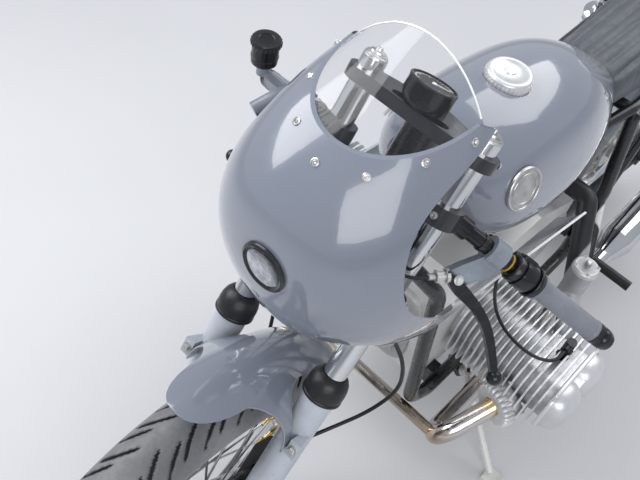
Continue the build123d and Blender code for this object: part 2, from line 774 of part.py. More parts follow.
# Engine: crankcase and gearbox, bored for the frame's bolts
with BuildPart() as engine:
    with BuildSketch(Plane.XZ.offset(-case_half_width)):
        with BuildLine():
            Polyline((640, 250), (700, 222), (880, 222), (930, 270), (946, 400), (930, 520), (890, 556),
                     (640, 556), (560, 520), (gearbox_rear, 470), (gearbox_rear, 300), (560, 262), close=True)
        make_face()
    extrude(amount=2 * case_half_width)
    for x, low, high, bolt_z in engine_lugs:
        bore((x, -case_half_width - 1, bolt_z), (x, case_half_width + 1, bolt_z), bolt_radius + fit)
keep(engine, "engine_block")

# Where each cylinder stands, its exhaust nut, its header's elbow and its intake
elbow = (crank_x + 210.0, 218.0, 258.0)
air_box_port = (520.0, 560.0)


def cylinder_x(side):
    return crank_x - (0 if side > 0 else cylinder_stagger)


def cylinder_plane(side, y):
    """Plane across a cylinder at a distance from the middle of the bike, facing outwards."""
    return Plane(origin=(cylinder_x(side), side * y, crank_z), x_dir=(1, 0, 0), z_dir=(0, side, 0))


def exhaust_nut(side):
    return Vector(cylinder_x(side) + 60, side * 276, crank_z - 43)


def header_start(side):
    """Direction of a header where it leaves the head."""
    return (Vector(elbow[0], side * elbow[1], elbow[2]) - exhaust_nut(side)).normalized()


def intake_end(side):
    return Vector(cylinder_x(side) - 104, side * 250, crank_z + 60)


def intake_target(side):
    return Vector(air_box_port[0], side * 140, air_box_port[1])


def intake_start(side):
    return (intake_target(side) - intake_end(side)).normalized()


def plug_base(side):
    return Vector(cylinder_x(side) - plug_offset, side * plug_y, crank_z + plug_floor)


def lead_start(side):
    return plug_base(side) + Vector(21, 0, 48 + seat_gap)


with BuildPart() as cylinders:
    for side in (1, -1):
        with BuildSketch(cylinder_plane(side, case_half_width + seat_gap)):
            Circle(barrel_radius)
        extrude(amount=barrel_end - case_half_width - seat_gap)
        pitch = (barrel_end - case_half_width - 14) / barrel_fins
        for index in range(barrel_fins):
            with BuildSketch(cylinder_plane(side, case_half_width + 14 + index * pitch)):
                RectangleRounded(barrel_fin_width, barrel_fin_height, 44)
            extrude(amount=fin_thickness)
        nut = exhaust_nut(side)
        bore(nut, nut + header_start(side) * 120, nut_radius + nut_clearance)
        bore(nut - header_start(side) * 60, nut, port_radius + nut_clearance)
        intake = intake_end(side)
        bore(intake - intake_start(side) * 80, intake, port_radius + nut_clearance)
keep(cylinders, "cylinders")

with BuildPart() as heads:
    for side in (1, -1):
        with BuildSketch(cylinder_plane(side, barrel_end + seat_gap)):
            RectangleRounded(150, 96, 30)
        extrude(amount=head_end - barrel_end - seat_gap)
        pitch = (head_end - barrel_end) / head_fins
        for index in range(head_fins):
            with BuildSketch(cylinder_plane(side, barrel_end + seat_gap + index * pitch)):
                RectangleRounded(head_fin_width, head_fin_height, 34)
            extrude(amount=fin_thickness + 1)
        nut = exhaust_nut(side)
        bore(nut, nut + header_start(side) * 120, nut_radius + nut_clearance)
        rod(nut - header_start(side) * 60, nut, port_radius)
        rod(intake_end(side) - intake_start(side) * 90, intake_end(side), port_radius)
        bore(plug_base(side), plug_base(side) + Vector(0, 0, 60), plug_cap_radius + nut_clearance)
keep(heads, "cylinder_heads")

# Elbow cap of each plug, standing in its pocket, with its lead round to the coil under the tank
with BuildPart() as plug_caps:
    for side in (1, -1):
        foot = plug_base(side) + Vector(0, 0, seat_gap)
        rod(foot, foot + Vector(0, 0, 56), plug_cap_radius)
        rod(foot + Vector(0, 0, 48), lead_start(side), 7)
keep(plug_caps, "plug_caps")

with BuildPart() as coil:
    rod((coil_centre[0], -coil_half, coil_centre[1]), (coil_centre[0], coil_half, coil_centre[1]), coil_radius)
keep(coil, "ignition_coil")

with BuildPart() as plug_leads:
    for side in (1, -1):
        x = cylinder_x(side)
        add(cord([
            lead_start(side), lead_start(side) + Vector(35, 0, 0), (x + 62, side * 270, 473), (x + 66, side * 232, 473),
            (x + 58, side * 190, 475), (x + 42, side * 155, 486), (x + 24, side * 132, 512), (802, side * 120, 552),
            (coil_centre[0], side * 94, coil_centre[1]), (coil_centre[0], side * coil_half, coil_centre[1]),
        ], lead_thickness, "plug lead"))
keep(plug_leads, "plug_leads")

# Rocker covers: two domed lobes with short ribs in the valley between them
cover_height = cover_end - head_end - seat_gap
with BuildPart() as rocker_lobe:
    with BuildSketch():
        RectangleRounded(104, 112, 34)
    extrude(amount=cover_height, taper=10)
    fillet(rocker_lobe.faces().sort_by(Axis.Z)[-1].edges(), 20)

with BuildPart() as rocker_covers:
    for side in (1, -1):
        base = cylinder_plane(side, head_end + seat_gap)
        for lobe_x in (-44, 44):
            with Locations(base.location * Location((lobe_x, 0, 0))):
                add(rocker_lobe.part)
        with BuildSketch(base):
            with GridLocations(0, 14, 1, 5):
                Rectangle(30, 5)
        extrude(amount=cover_height - 12)
keep(rocker_covers, "rocker_covers")

with BuildPart() as carburettors:
    for side in (1, -1):
        start = intake_end(side) + intake_start(side) * seat_gap
        body = start + intake_start(side) * 45
        target = intake_target(side)
        tube([start, target, (target.X, side * (air_box_half_width + seat_gap), target.Z)], 30, hose_radius)
        rod(body - Vector(0, 0, 36), body + Vector(0, 0, 58), 24)
keep(carburettors, "carburettors")

# Exhaust: headers with finned nuts and a crossover pipe, then the silencers
header_kink = (420.0, header_y, header_z)
silencer_line = Vector(-580, 10, 116).normalized()
with BuildPart() as headers:
    for side in (1, -1):
        nut = exhaust_nut(side)
        first = header_start(side)
        axis_line = Vector(silencer_line.X, side * silencer_line.Y, silencer_line.Z)
        kink = Vector(header_kink[0], side * header_kink[1], header_kink[2])
        tube([
            nut + first * seat_gap, (elbow[0], side * elbow[1], elbow[2]), (elbow[0] - 52, side * header_y, header_z),
            kink, kink + axis_line * 90,
        ], header_bend, header_radius)
    rod((elbow[0] - 22, -210, 238), (elbow[0] - 22, 210, 238), 12)
keep(headers, "exhaust_headers")

# Finned exhaust nuts, slotted lengthwise all round
with BuildPart() as exhaust_nuts:
    for side in (1, -1):
        nut = exhaust_nut(side)
        first = header_start(side)
        with BuildSketch(Plane(origin=nut + first * 2, z_dir=first)) as star:
            Circle(nut_radius)
            with PolarLocations(nut_radius, nut_slots):
                SlotOverall(26, 6.5, mode=Mode.SUBTRACT)
            Circle(header_radius + fit, mode=Mode.SUBTRACT)
        extrude(star.sketch, amount=nut_length)
keep(exhaust_nuts, "exhaust_nuts")

with BuildPart() as silencers:
    for side in (1, -1):
        axis_line = Vector(silencer_line.X, side * silencer_line.Y, silencer_line.Z)
        start = Vector(header_kink[0], side * header_kink[1], header_kink[2]) + axis_line * (90 + seat_gap)
        with BuildSketch(Plane(origin=start, x_dir=axis_line, z_dir=(0, 1, 0))):
            with BuildLine():
                Polyline((0, 0), (0, 24), (45, 24), (105, silencer_radius), (530, silencer_radius),
                         (565, 30), (565, 22), (500, 22), (500, 0), close=True)
            make_face()
        revolve(axis=Axis(origin=start, direction=axis_line))
keep(silencers, "silencers")

# Air filter box on the gearbox
with BuildPart() as air_box:
    with BuildSketch(Plane.XZ.offset(-air_box_half_width)):
        with BuildLine():
            Polyline((gearbox_rear, 471), (560, 521), (560, 650), (415, 650), (415, 471), close=True)
        make_face()
    extrude(amount=2 * air_box_half_width)
keep(air_box, "air_box")

# Fuel tank: x, half width, bottom, widest height, top
tank_sections = [
    (1005, 70, 770, 840, 895),
    (940, 122, 690, 800, 936),
    (840, 140, 655, 770, 936),
    (700, 138, 650, 760, 915),
    (570, 108, 680, 760, 862),
    (490, 74, 715, 760, 812),
]
with BuildPart() as tank:
    loft([egg(section) for section in tank_sections])
    # tunnel over the backbone
    with BuildSketch(Plane.XZ.offset(-tunnel_half_width)) as tunnel:
        with BuildLine():
            Polyline((1030, 880), (800, 808), (470, 752), (470, 500), (1030, 500), close=True)
        make_face()
    extrude(tunnel.sketch, amount=2 * tunnel_half_width, mode=Mode.SUBTRACT)
    bore((*cap_centre, cap_seat), (*cap_centre, cap_seat + 60), cap_radius + 4)
    for side in (1, -1):
        seat = Vector(badge_centre[0], side * badge_centre[1], badge_centre[2])
        normal = Vector(badge_normal[0], side * badge_normal[1], badge_normal[2])
        bore(seat, seat + normal * 40, badge_radius + 0.5)
keep(tank, "fuel_tank")

with BuildPart() as badges:
    for side in (1, -1):
        seat = Vector(badge_centre[0], side * badge_centre[1], badge_centre[2])
        normal = Vector(badge_normal[0], side * badge_normal[1], badge_normal[2]).normalized()
        rod(seat + normal * seat_gap, seat + normal * 4, badge_radius)
keep(badges, "tank_badges")

with BuildPart() as cap:
    rod((*cap_centre, cap_seat + seat_gap), (*cap_centre, cap_seat + 20), cap_radius)
keep(cap, "fuel_cap")

# Seat and tail on the rear loop: x, half width, bottom, shoulder height, top
seat_sections = [(490 - seat_gap, 76, 723.6, 752, 800), (200, 104, 729.6, 765, 808), (20, 102, 748.6, 785, 832)]
with BuildPart() as seat:
    loft([loaf(section) for section in seat_sections])
keep(seat, "seat")

tail_sections = [(20 - seat_gap, 104, 748.8, 790, 850), (-60, 100, 759.5, 805, 880), (-150, 60, 780, 825, 860)]
with BuildPart() as tail:
    loft([loaf(section) for section in tail_sections])
keep(tail, "tail_cowl")

with BuildPart() as tail_lamp:
    rod((-150 - seat_gap, 0, 822), (-166, 0, 822), 24)
keep(tail_lamp, "tail_lamp")

with BuildPart() as rear_fender:
    with BuildSketch(wheel_plane(rear_axle, 25)):
        with BuildLine():
            edge = rear_fender_top - 26
            ThreePointArc((-70, edge), (0, rear_fender_top), (70, edge))
            Line((70, edge), (67, edge))
            ThreePointArc((67, edge), (0, rear_fender_top - 3), (-67, edge))
            Line((-67, edge), (-70, edge))
        make_face()
    revolve(axis=Axis(origin=rear_axle, direction=(0, 1, 0)), revolution_arc=80)
keep(rear_fender, "rear_fender")

# Swing arm with the shaft housing on the right, the rear axle and the shock studs
arm_pivot = (425.0, 370.0)
arm_y = 92.0
drive_face = 66.0
drive_width = 54.0
rear_hub_end = hub_half_length["rear"] + seat_gap
with BuildPart() as swing_arm:
    pivot_half = rear_leg_y - cradle_tube - seat_gap
    rod((arm_pivot[0], -pivot_half, arm_pivot[1]), (arm_pivot[0], pivot_half, arm_pivot[1]), 20)
    tube([(arm_pivot[0], 80, arm_pivot[1]), (250, arm_y, 340), (0, arm_y + 4, rear_axle.Z)], 200, 15)
    rod((arm_pivot[0], -arm_y, arm_pivot[1]), (0, -arm_y - 12, rear_axle.Z), 28)
    rod((0, arm_y - 14, rear_axle.Z), (0, arm_y + 20, rear_axle.Z), 24)
    with BuildSketch(Plane(origin=(0, -drive_face, rear_axle.Z), x_dir=(1, 0, 0), z_dir=(0, -1, 0))):
        Circle(88)
    extrude(amount=drive_width, taper=14)
    rod(rear_axle + Vector(0, -drive_face - 10, 0), rear_axle + Vector(0, arm_y + 34, 0), axle_radius)
    rod(rear_axle + Vector(0, -drive_face - 10, 0), rear_axle + Vector(0, -rear_hub_end, 0), 16)
    rod(rear_axle + Vector(0, rear_hub_end, 0), rear_axle + Vector(0, arm_y, 0), 16)
    for side in (1, -1):
        rod((shock_foot[0], side * (arm_y - 6), shock_foot[1]), (shock_foot[0], side * (shock_y + 16), shock_foot[1]),
            stud_radius)
    rod((shock_foot[0], arm_y, shock_foot[1]), (0, arm_y, rear_axle.Z), 10)
keep(swing_arm, "swing_arm")

shock_line = (Vector(shock_top[0], 0, shock_top[1]) - Vector(shock_foot[0], 0, shock_foot[1])).normalized()
eye_half = 11.7
with BuildPart() as shocks:
    for side in (1, -1):
        low = Vector(shock_foot[0], side * shock_y, shock_foot[1])
        high = Vector(shock_top[0], side * shock_y, shock_top[1])
        rod(low, high, 8)
        rod(low + shock_line * 70, high - shock_line * 60, 22)
        for index in range(7):
            rod(low + shock_line * (80 + 34 * index), low + shock_line * (92 + 34 * index), 26)
        for eye in (low, high):
            rod(eye - Vector(0, eye_half, 0), eye + Vector(0, eye_half, 0), 15)
            bore(eye - Vector(0, 30, 0), eye + Vector(0, 30, 0), stud_radius + fit)
keep(shocks, "shocks")

# Half fairing: x, half width, bottom, widest height, top
fairing_sections = [
    (nose_x, 34, lamp_z - 34, lamp_z, lamp_z + 34),
    (1312, 110, 772, 892, 1004),
    (1250, 154, 695, 875, 1066),
    (1110, 168, 600, 800, 1150),
    (660, 176, 560, 660, 1180),
]


def shell_body(inset, ends):
    """Solid body of the fairing drawn in by inset, with its rear end moved back by ends."""
    outlines = []
    for x, half_width, bottom, widest, top in fairing_sections:
        if x == nose_x:
            x -= inset
        if x == fairing_sections[-1][0]:
            x -= ends
        outlines.append(egg((x, half_width - inset, bottom + inset, widest, top - inset)))
    with BuildPart() as body:
        loft(outlines[:-1])
        loft(outlines[-2:])
    return body.part


def cut_block(outline):
    """Block across the bike with an outline in side view."""
    with BuildPart() as block:
        with BuildSketch(Plane.XZ.offset(-300)):
            with BuildLine():
                Polyline(*outline, close=True)
            make_face()
        extrude(amount=600)
    return block.part


outer_body = shell_body(0, 0)
inner_body = shell_body(fairing_wall, 10)
screen_cut = cut_block([(1420, 1054), (1290, 1054), (1105, 1085), (1105, 1400), (1420, 1400)])
with BuildPart() as bar_cut:
    with BuildSketch(Plane.XZ.offset(-300)):
        with BuildLine():
            Polyline((1000, 706), (680, 653), (600, 645), (600, 1400), (1098, 1400), (1098, 1068))
            Spline((1098, 1068), (1134, 1055), (1172, 1042), (1212, 1022), (1243, 992), (1258, 950), (1254, 908),
                   (1228, 866), (1184, 826), (1120, 776), (1060, 736), (1000, 706))
        make_face()
    extrude(amount=600)
under_cut = cut_block([(1345, 500), (1345, 700), (1200, 640), (1000, 600), (600, 590), (600, 500)])
with BuildPart() as fairing:
    add(outer_body)
    for cutter in (inner_body, screen_cut, bar_cut.part, under_cut):
        add(cutter, mode=Mode.SUBTRACT)
    with BuildSketch(Plane.XY.offset(450)):
        with Locations((950, 0)):
            Rectangle(710, 2 * fork_opening)
    extrude(amount=350, mode=Mode.SUBTRACT)
    bore((1300, 0, lamp_z), (1360, 0, lamp_z), lamp_radius + seat_gap)
keep(fairing, "fairing")

screen_outer = shell_body(fairing_wall + seat_gap, 0)
screen_inner = shell_body(fairing_wall + seat_gap + screen_wall, 10)
screen_region = cut_block([(1420, 1034), (1292, 1034), (1116, 1062), (1116, 1080), (1130, 1400), (1420, 1400)])
with BuildPart() as screen:
    add(screen_outer)
    add(screen_region, mode=Mode.INTERSECT)
    add(screen_inner, mode=Mode.SUBTRACT)
keep(screen, "windscreen")

with BuildPart() as headlamp:
    rod((lamp_back, 0, lamp_z), (nose_x + 5, 0, lamp_z), lamp_radius)
keep(headlamp, "headlamp")

# Side stand: an eye on the frame's pin, a leg and a foot that lies flat on the floor when parked
foot_line = Vector(*stand_direction).normalized()
floor_slope = tan(radians(lean))
floor_drop = rear_tyre_width / 2 * (1 - cos(radians(lean))) / cos(radians(lean))
stand_reach = (stand_hinge.Z - floor_slope * stand_hinge.Y + floor_drop) / (floor_slope * foot_line.Y - foot_line.Z)
with BuildPart() as stand:
    rod(stand_hinge - hinge_line * stand_eye_half, stand_hinge + hinge_line * stand_eye_half, stand_eye_radius)
    rod(stand_hinge + foot_line * 7, stand_hinge + foot_line * (stand_reach - 14), stand_tube_radius)
    with Locations(Location(stand_hinge + foot_line * stand_reach, (lean, 0, 0))):
        Box(stand_foot, stand_foot, 8, align=(Align.CENTER, Align.CENTER, Align.MIN))
    bore(stand_hinge - hinge_line * 30, stand_hinge + hinge_line * 30, stand_pin_radius + fit)
keep(stand, "side_stand")

# Lean the bike onto its stand and put the middle of its floor outline at the origin
leaning = Rot(X=-lean)
leaned = {label: leaning * part for label, part in pieces.items()}
boxes = [part.bounding_box() for part in leaned.values()]
back, front = min(box.min.X for box in boxes), max(box.max.X for box in boxes)
right, left = min(box.min.Y for box in boxes), max(box.max.Y for box in boxes)
to_origin = Vector(-(back + front) / 2, -(right + left) / 2, -min(box.min.Z for box in boxes))

os.makedirs("parts", exist_ok=True)
for label, part in leaned.items():
    parked = Pos(*to_origin) * part
    parked.label = label
    export_step(parked, f"parts/{label}.step")
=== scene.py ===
from math import asin, atan2, copysign, cos, degrees, exp, pi, radians, sin
import bpy
import bmesh
from mathutils import Matrix, Vector
from mathutils.bvhtree import BVHTree


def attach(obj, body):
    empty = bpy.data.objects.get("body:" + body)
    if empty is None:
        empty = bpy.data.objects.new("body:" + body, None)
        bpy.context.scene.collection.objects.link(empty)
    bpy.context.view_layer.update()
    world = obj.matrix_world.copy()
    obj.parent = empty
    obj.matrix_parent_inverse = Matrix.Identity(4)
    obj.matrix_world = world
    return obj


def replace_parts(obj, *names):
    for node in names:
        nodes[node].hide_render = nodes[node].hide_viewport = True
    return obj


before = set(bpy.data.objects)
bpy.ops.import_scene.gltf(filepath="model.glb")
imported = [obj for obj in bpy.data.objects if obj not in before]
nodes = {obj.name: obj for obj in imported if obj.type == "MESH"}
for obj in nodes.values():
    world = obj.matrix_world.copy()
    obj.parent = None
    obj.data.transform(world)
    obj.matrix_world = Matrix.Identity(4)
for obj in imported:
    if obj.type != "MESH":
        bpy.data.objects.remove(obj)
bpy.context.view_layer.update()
scene = bpy.context.scene
scene.view_settings.view_transform = "Standard"

# The pieces are placed on the upright bike in mm, as in part.py, then leaned and moved as it is parked
AHEAD, LEFT, UP = Vector((1, 0, 0)), Vector((0, 1, 0)), Vector((0, 0, 1))
LEAN = radians(10)
PARK = (Matrix.Translation((-0.736, -0.0856795, 0.00088115)) @ Matrix.Rotation(-LEAN, 4, "X")
        @ Matrix.Scale(0.001, 4))
UNPARK = PARK.inverted()
RAKE = radians(28)
UP_FORK = Vector((-sin(RAKE), 0, cos(RAKE)))
AHEAD_FORK = Vector((cos(RAKE), 0, sin(RAKE)))
FRONT_AXLE = Vector((1465, 0, 325))
REAR_AXLE = Vector((0, 0, 318))
LEG_BASE = FRONT_AXLE - AHEAD_FORK * 27
HALF_SPACING = 93.5
BAR_HEIGHT = 685
SWEEP = radians(37.2)
DROP = radians(13)
LEVER_REACH = (0.787, 0.042, -0.616)
SIDES = (1, -1)


def fork_point(height, forward=0.0, left=0.0):
    return LEG_BASE + UP_FORK * height + AHEAD_FORK * forward + Vector((0, left, 0))


def parked(point):
    return PARK @ Vector(point)


def bar_direction(side):
    return (AHEAD_FORK * (-sin(SWEEP) * cos(DROP)) + UP_FORK * -sin(DROP)
            + Vector((0, side * cos(SWEEP) * cos(DROP), 0)))


def bar_point(side, distance):
    return fork_point(BAR_HEIGHT, -17, side * (HALF_SPACING + 16.5)) + bar_direction(side) * distance


def lever_direction(side):
    reach = Vector((LEVER_REACH[0], side * LEVER_REACH[1], LEVER_REACH[2]))
    along = bar_direction(side)
    return (reach - along * reach.dot(along)).normalized()


def lever_point(side, along, out, up=0.0):
    normal = bar_direction(side).cross(lever_direction(side))
    return bar_point(side, 0) + bar_direction(side) * along + lever_direction(side) * out + normal * up


# Camera as the photograph was taken: its lens, its place and the way it looks on the upright bike
LENS = 44.94
CAMERA_AT = (1784.9, 349.7, 1662.1)
camera_data = bpy.data.cameras.new("camera")
camera_data.sensor_width = 36
camera_data.lens = LENS
camera = bpy.data.objects.new("camera", camera_data)
scene.collection.objects.link(camera)
right = Vector((-0.6805, 0.7158, 0.1566))
down = Vector((0.5007, 0.6104, -0.6138))
forward = Vector((-0.535, -0.3393, -0.7738))
turn = Matrix.Rotation(-LEAN, 3, "X") @ Matrix((right, -down, -forward)).transposed()
camera.matrix_world = Matrix.Translation(parked(CAMERA_AT)) @ turn.to_4x4()
scene.camera = camera


# Materials

def feed(tree, node, inputs):
    """Set each input to its value, or link it to the output given for it."""
    for socket, value in inputs.items():
        if isinstance(value, bpy.types.NodeSocket):
            tree.links.new(value, node.inputs[socket])
        else:
            node.inputs[socket].default_value = value


def put(tree, kind, inputs, operation=None):
    node = tree.nodes.new("ShaderNode" + kind)
    if operation:
        node.operation = operation
    feed(tree, node, inputs)
    return node


def node_maker(name):
    material = bpy.data.materials.new(name)
    material.use_nodes = True
    tree = material.node_tree
    return material, tree, tree.nodes["Principled BSDF"]


def object_place(tree):
    return tree.nodes.new("ShaderNodeTexCoord").outputs["Object"]


def noise(tree, scale, detail=4.0, stretch=(1, 1, 1)):
    mapping = put(tree, "Mapping", {"Vector": object_place(tree), "Scale": stretch})
    return put(tree, "TexNoise", {"Vector": mapping.outputs["Vector"], "Scale": scale, "Detail": detail}).outputs["Fac"]


def ramp(tree, source, stops):
    mixer = put(tree, "ValToRGB", {"Fac": source})
    elements = mixer.color_ramp.elements
    while len(elements) < len(stops):
        elements.new(0.5)
    for element, (place, colour) in zip(elements, stops):
        element.position = place
        element.color = (*colour, 1)
    return mixer.outputs["Color"]


def gate(tree, source, start, end, low=0.0, high=1.0):
    """Grey that goes from low to high while its source goes from start to end."""
    return ramp(tree, source, [(start, (low,) * 3), (end, (high,) * 3)])


def tones(tree, patch, dark, light, half=0.15, detail=5.0):
    """Two colours in soft patches, blended over the middle of a noise."""
    return ramp(tree, noise(tree, patch, detail), [(0.5 - half, dark), (0.5 + half, light)])


def blend(tree, factor, first, second):
    mix = tree.nodes.new("ShaderNodeMix")
    mix.data_type = "RGBA"
    feed(tree, mix, {"Factor": factor, "A": first, "B": (*second, 1) if isinstance(second, tuple) else second})
    return mix.outputs["Result"]


def spread(tree, source, low, high):
    """Stretch the middle values of a noise over a span."""
    span = {"Value": source, "From Min": 0.3, "From Max": 0.7, "To Min": low, "To Max": high}
    return put(tree, "MapRange", span).outputs["Result"]


def maths(tree, operation, *values):
    return put(tree, "Math", dict(enumerate(values)), operation).outputs["Value"]


def vector_maths(tree, operation, first, second, result="Value"):
    return put(tree, "VectorMath", {0: first, 1: second}, operation).outputs[result]


def length_of(tree, first, second):
    squares = [maths(tree, "MULTIPLY", side, side) for side in (first, second)]
    return maths(tree, "SQRT", maths(tree, "ADD", *squares))


def reach_along(tree, direction, start=(0, 0, 0)):
    """Distance in metres along an upright direction of the bike, from a place given in mm."""
    away = vector_maths(tree, "SUBTRACT", object_place(tree), parked(start), "Vector")
    return vector_maths(tree, "DOT_PRODUCT", away, (PARK.to_3x3() @ Vector(direction)).normalized())


def relief(tree, shader, height, depth, strength=0.6, invert=False):
    bump = put(tree, "Bump", {"Strength": strength, "Distance": depth, "Height": height})
    bump.invert = invert
    tree.links.new(bump.outputs["Normal"], shader.inputs["Normal"])


def frame_paint(name):
    """Black main frame with white footrest hangers outside it."""
    material, tree, shader = node_maker(name)
    black = tones(tree, 14.0, (0.008, 0.008, 0.009), (0.014, 0.014, 0.016))
    white = tones(tree, 14.0, (0.66, 0.66, 0.64), (0.74, 0.74, 0.72))
    outer = gate(tree, maths(tree, "ABSOLUTE", reach_along(tree, LEFT)), 0.157, 0.160)
    behind = gate(tree, reach_along(tree, -AHEAD, (452, 0, 0)), 0.0, 0.003)
    feed(tree, shader, {
        "Base Color": blend(tree, maths(tree, "MULTIPLY", outer, behind), black, white),
        "Roughness": spread(tree, noise(tree, 90.0, 6.0), 0.22, 0.36),
        "Coat Weight": 0.25,
    })
    relief(tree, shader, noise(tree, 300.0, 3.0), 0.00003)
    return material


def lever_finish(name):
    """Grey satin perches beside the bars and black levers beyond them."""
    material, tree, shader = node_maker(name)
    satin = tones(tree, 40.0, (0.19, 0.215, 0.25), (0.24, 0.268, 0.31))
    black = tones(tree, 40.0, (0.006, 0.007, 0.009), (0.012, 0.013, 0.016))
    beyond = gate(tree, reach_along(tree, (0.787, 0, -0.617), bar_point(1, 0)), 0.052, 0.053)
    feed(tree, shader, {
        "Base Color": blend(tree, beyond, satin, black),
        "Roughness": spread(tree, noise(tree, 120.0, 6.0), 0.15, 0.3),
    })
    relief(tree, shader, noise(tree, 700.0, 3.0), 0.00003)
    return material


def carburettor_finish(name):
    """Cast bodies near the cylinders, black hoses from there in to the filter box."""
    material, tree, shader = node_maker(name)
    cast = tones(tree, 26.0, (0.38, 0.385, 0.39), (0.50, 0.505, 0.51))
    black = tones(tree, 26.0, (0.010, 0.010, 0.011), (0.016, 0.016, 0.018))
    body = gate(tree, maths(tree, "ABSOLUTE", reach_along(tree, LEFT)), 0.201, 0.202)
    feed(tree, shader, {
        "Base Color": blend(tree, body, black, cast),
        "Metallic": maths(tree, "MULTIPLY", body, 0.6),
        "Roughness": spread(tree, noise(tree, 150.0, 6.0), 0.36, 0.52),
    })
    relief(tree, shader, noise(tree, 1000.0, 3.0), 0.0001)
    return material


def tyre_rubber(name, axle, radius, crown):
    """Dusty tread and walls, with painted shade, near black, where the tread is cut away below the crown's round
    section.
    """
    material, tree, shader = node_maker(name)
    dusty = tones(tree, 11.0, (0.125, 0.128, 0.134), (0.215, 0.22, 0.23), 0.18, 6.0)
    worn = blend(tree, gate(tree, noise(tree, 160.0, 6.0), 0.45, 0.75, high=0.35), dusty, (0.09, 0.092, 0.096))
    far = length_of(tree, reach_along(tree, AHEAD, axle), reach_along(tree, UP, axle))
    lift = maths(tree, "SUBTRACT", far, (radius - crown) / 1000)
    cut = maths(tree, "SUBTRACT", crown / 1000, length_of(tree, lift, reach_along(tree, LEFT, axle)))
    # painted shade: where the tread is cut away into grooves it is coloured near black
    groove_shade = gate(tree, maths(tree, "MULTIPLY", cut, 100.0), 0.08, 0.22)
    tread = gate(tree, lift, 0.0, 0.002)
    feed(tree, shader, {
        "Base Color": blend(tree, maths(tree, "MULTIPLY", groove_shade, tread), worn, (0.008, 0.008, 0.009)),
        "Roughness": spread(tree, noise(tree, 80.0, 6.0), 0.42, 0.62),
        "Sheen Weight": 0.15,
    })
    relief(tree, shader, noise(tree, 1300.0, 3.0), 0.0002)
    return material


def finish(name, light, dark, rough, metal=0.0, coat=0.0, coat_rough=0.05, patch=9.0, grain=500.0, depth=0.00015,
           wear=None, stretch=(1, 1, 1), sheen=0.0, specular=0.5):
    """Two tones in soft patches, uneven gloss, a fine relief and lighter or darker worn edges."""
    material, tree, shader = node_maker(name)
    colour = tones(tree, patch, dark, light)
    if wear:
        shape = tree.nodes.new("ShaderNodeNewGeometry")
        colour = blend(tree, gate(tree, shape.outputs["Pointiness"], 0.52, 0.6), colour, wear)
    feed(tree, shader, {
        "Base Color": colour, "Roughness": spread(tree, noise(tree, patch * 7, 6.0), *rough), "Metallic": metal,
        "Coat Weight": coat, "Coat Roughness": coat_rough, "Sheen Weight": sheen, "Specular IOR Level": specular,
    })
    relief(tree, shader, noise(tree, grain, 3.0, stretch), depth)
    return material


def shell_paint(name, heart):
    """Grey paint outside and pale lining inside, told apart by which way a face looks from the shell's heart. The top
    edges of the arms fall on the lined side too, so their pale rims are a painted highlight.
    """
    material, tree, shader = node_maker(name)
    outside = tones(tree, 5.0, (0.187, 0.206, 0.252), (0.205, 0.226, 0.275))
    inside = tones(tree, 30.0, (0.50, 0.52, 0.55), (0.62, 0.64, 0.67), 0.2)
    outward = vector_maths(tree, "SUBTRACT", object_place(tree), parked(heart), "Vector")
    looks = tree.nodes.new("ShaderNodeTexCoord").outputs["Normal"]
    # pale lining inside; on the arms' top edges the same pale tone is a painted highlight
    lining_and_rim_highlight_mask = gate(tree, vector_maths(tree, "DOT_PRODUCT", outward, looks), 0.0, 0.01, 1.0, 0.0)
    feed(tree, shader, {
        "Base Color": blend(tree, lining_and_rim_highlight_mask, outside, inside),
        "Roughness": spread(tree, noise(tree, 35.0, 6.0), 0.13, 0.22),
        "Coat Weight": 1,
    })
    relief(tree, shader, noise(tree, 260.0, 3.0), 0.00004, 0.5)
    return material


def heated_chrome(name, port):
    """Chromed pipe with gold and brown heat bands near the head, fading to steel further down."""
    material, tree, shader = node_maker(name)
    reach = vector_maths(tree, "DISTANCE", object_place(tree), parked(port))
    tint = ramp(tree, maths(tree, "MULTIPLY_ADD", noise(tree, 30.0), 0.06, reach), [
        (0.072, (0.78, 0.60, 0.34)), (0.092, (0.66, 0.62, 0.58)), (0.15, (0.62, 0.59, 0.58)),
        (0.2, (0.52, 0.40, 0.29)), (0.27, (0.60, 0.56, 0.52)), (0.45, (0.72, 0.60, 0.42)), (0.9, (0.62, 0.62, 0.62)),
    ])
    feed(tree, shader, {
        "Base Color": tint, "Metallic": 1, "Roughness": spread(tree, noise(tree, 70.0), 0.1, 0.26),
    })
    return material


def clear(name, colour, rough, ior, coat):
    """Clear plastic or glass with faint unevenness, which lets the light through to what is behind it."""
    material, tree, shader = node_maker(name)
    feed(tree, shader, {
        "Base Color": tones(tree, 6.0, tuple(0.97 * c for c in colour), colour, 0.2, 4.0),
        "Roughness": spread(tree, noise(tree, 40.0), rough * 0.5, rough),
        "Transmission Weight": 1, "IOR": ior, "Coat Weight": coat,
    })
    path = tree.nodes.new("ShaderNodeLightPath")
    through = put(tree, "BsdfTransparent", {"Color": (0.9, 0.92, 0.94, 1)})
    mix = put(tree, "MixShader", {
        "Fac": path.outputs["Is Shadow Ray"], 1: shader.outputs["BSDF"], 2: through.outputs["BSDF"],
    })
    tree.links.new(mix.outputs["Shader"], tree.nodes["Material Output"].inputs["Surface"])
    return material


def leather(name):
    """Blue-grey seat cover with pebbled grain and painted shade: the creases between the pebbles are darker."""
    material, tree, shader = node_maker(name)
    cells = put(tree, "TexVoronoi", {"Vector": object_place(tree), "Scale": 420.0}).outputs["Distance"]
    tone = tones(tree, 14.0, (0.045, 0.055, 0.068), (0.075, 0.09, 0.108), 0.2, 4.0)
    feed(tree, shader, {
        # painted shade: the pebbles' creases, which the bump below sinks, are blended toward a darker blue-grey
        "Base Color": blend(tree, gate(tree, cells, 0.1, 0.5, high=0.5), tone, (0.03, 0.036, 0.045)),
        "Roughness": spread(tree, noise(tree, 60.0), 0.42, 0.6),
        "Sheen Weight": 0.15,
    })
    relief(tree, shader, cells, 0.0005, 0.5, invert=True)
    return material


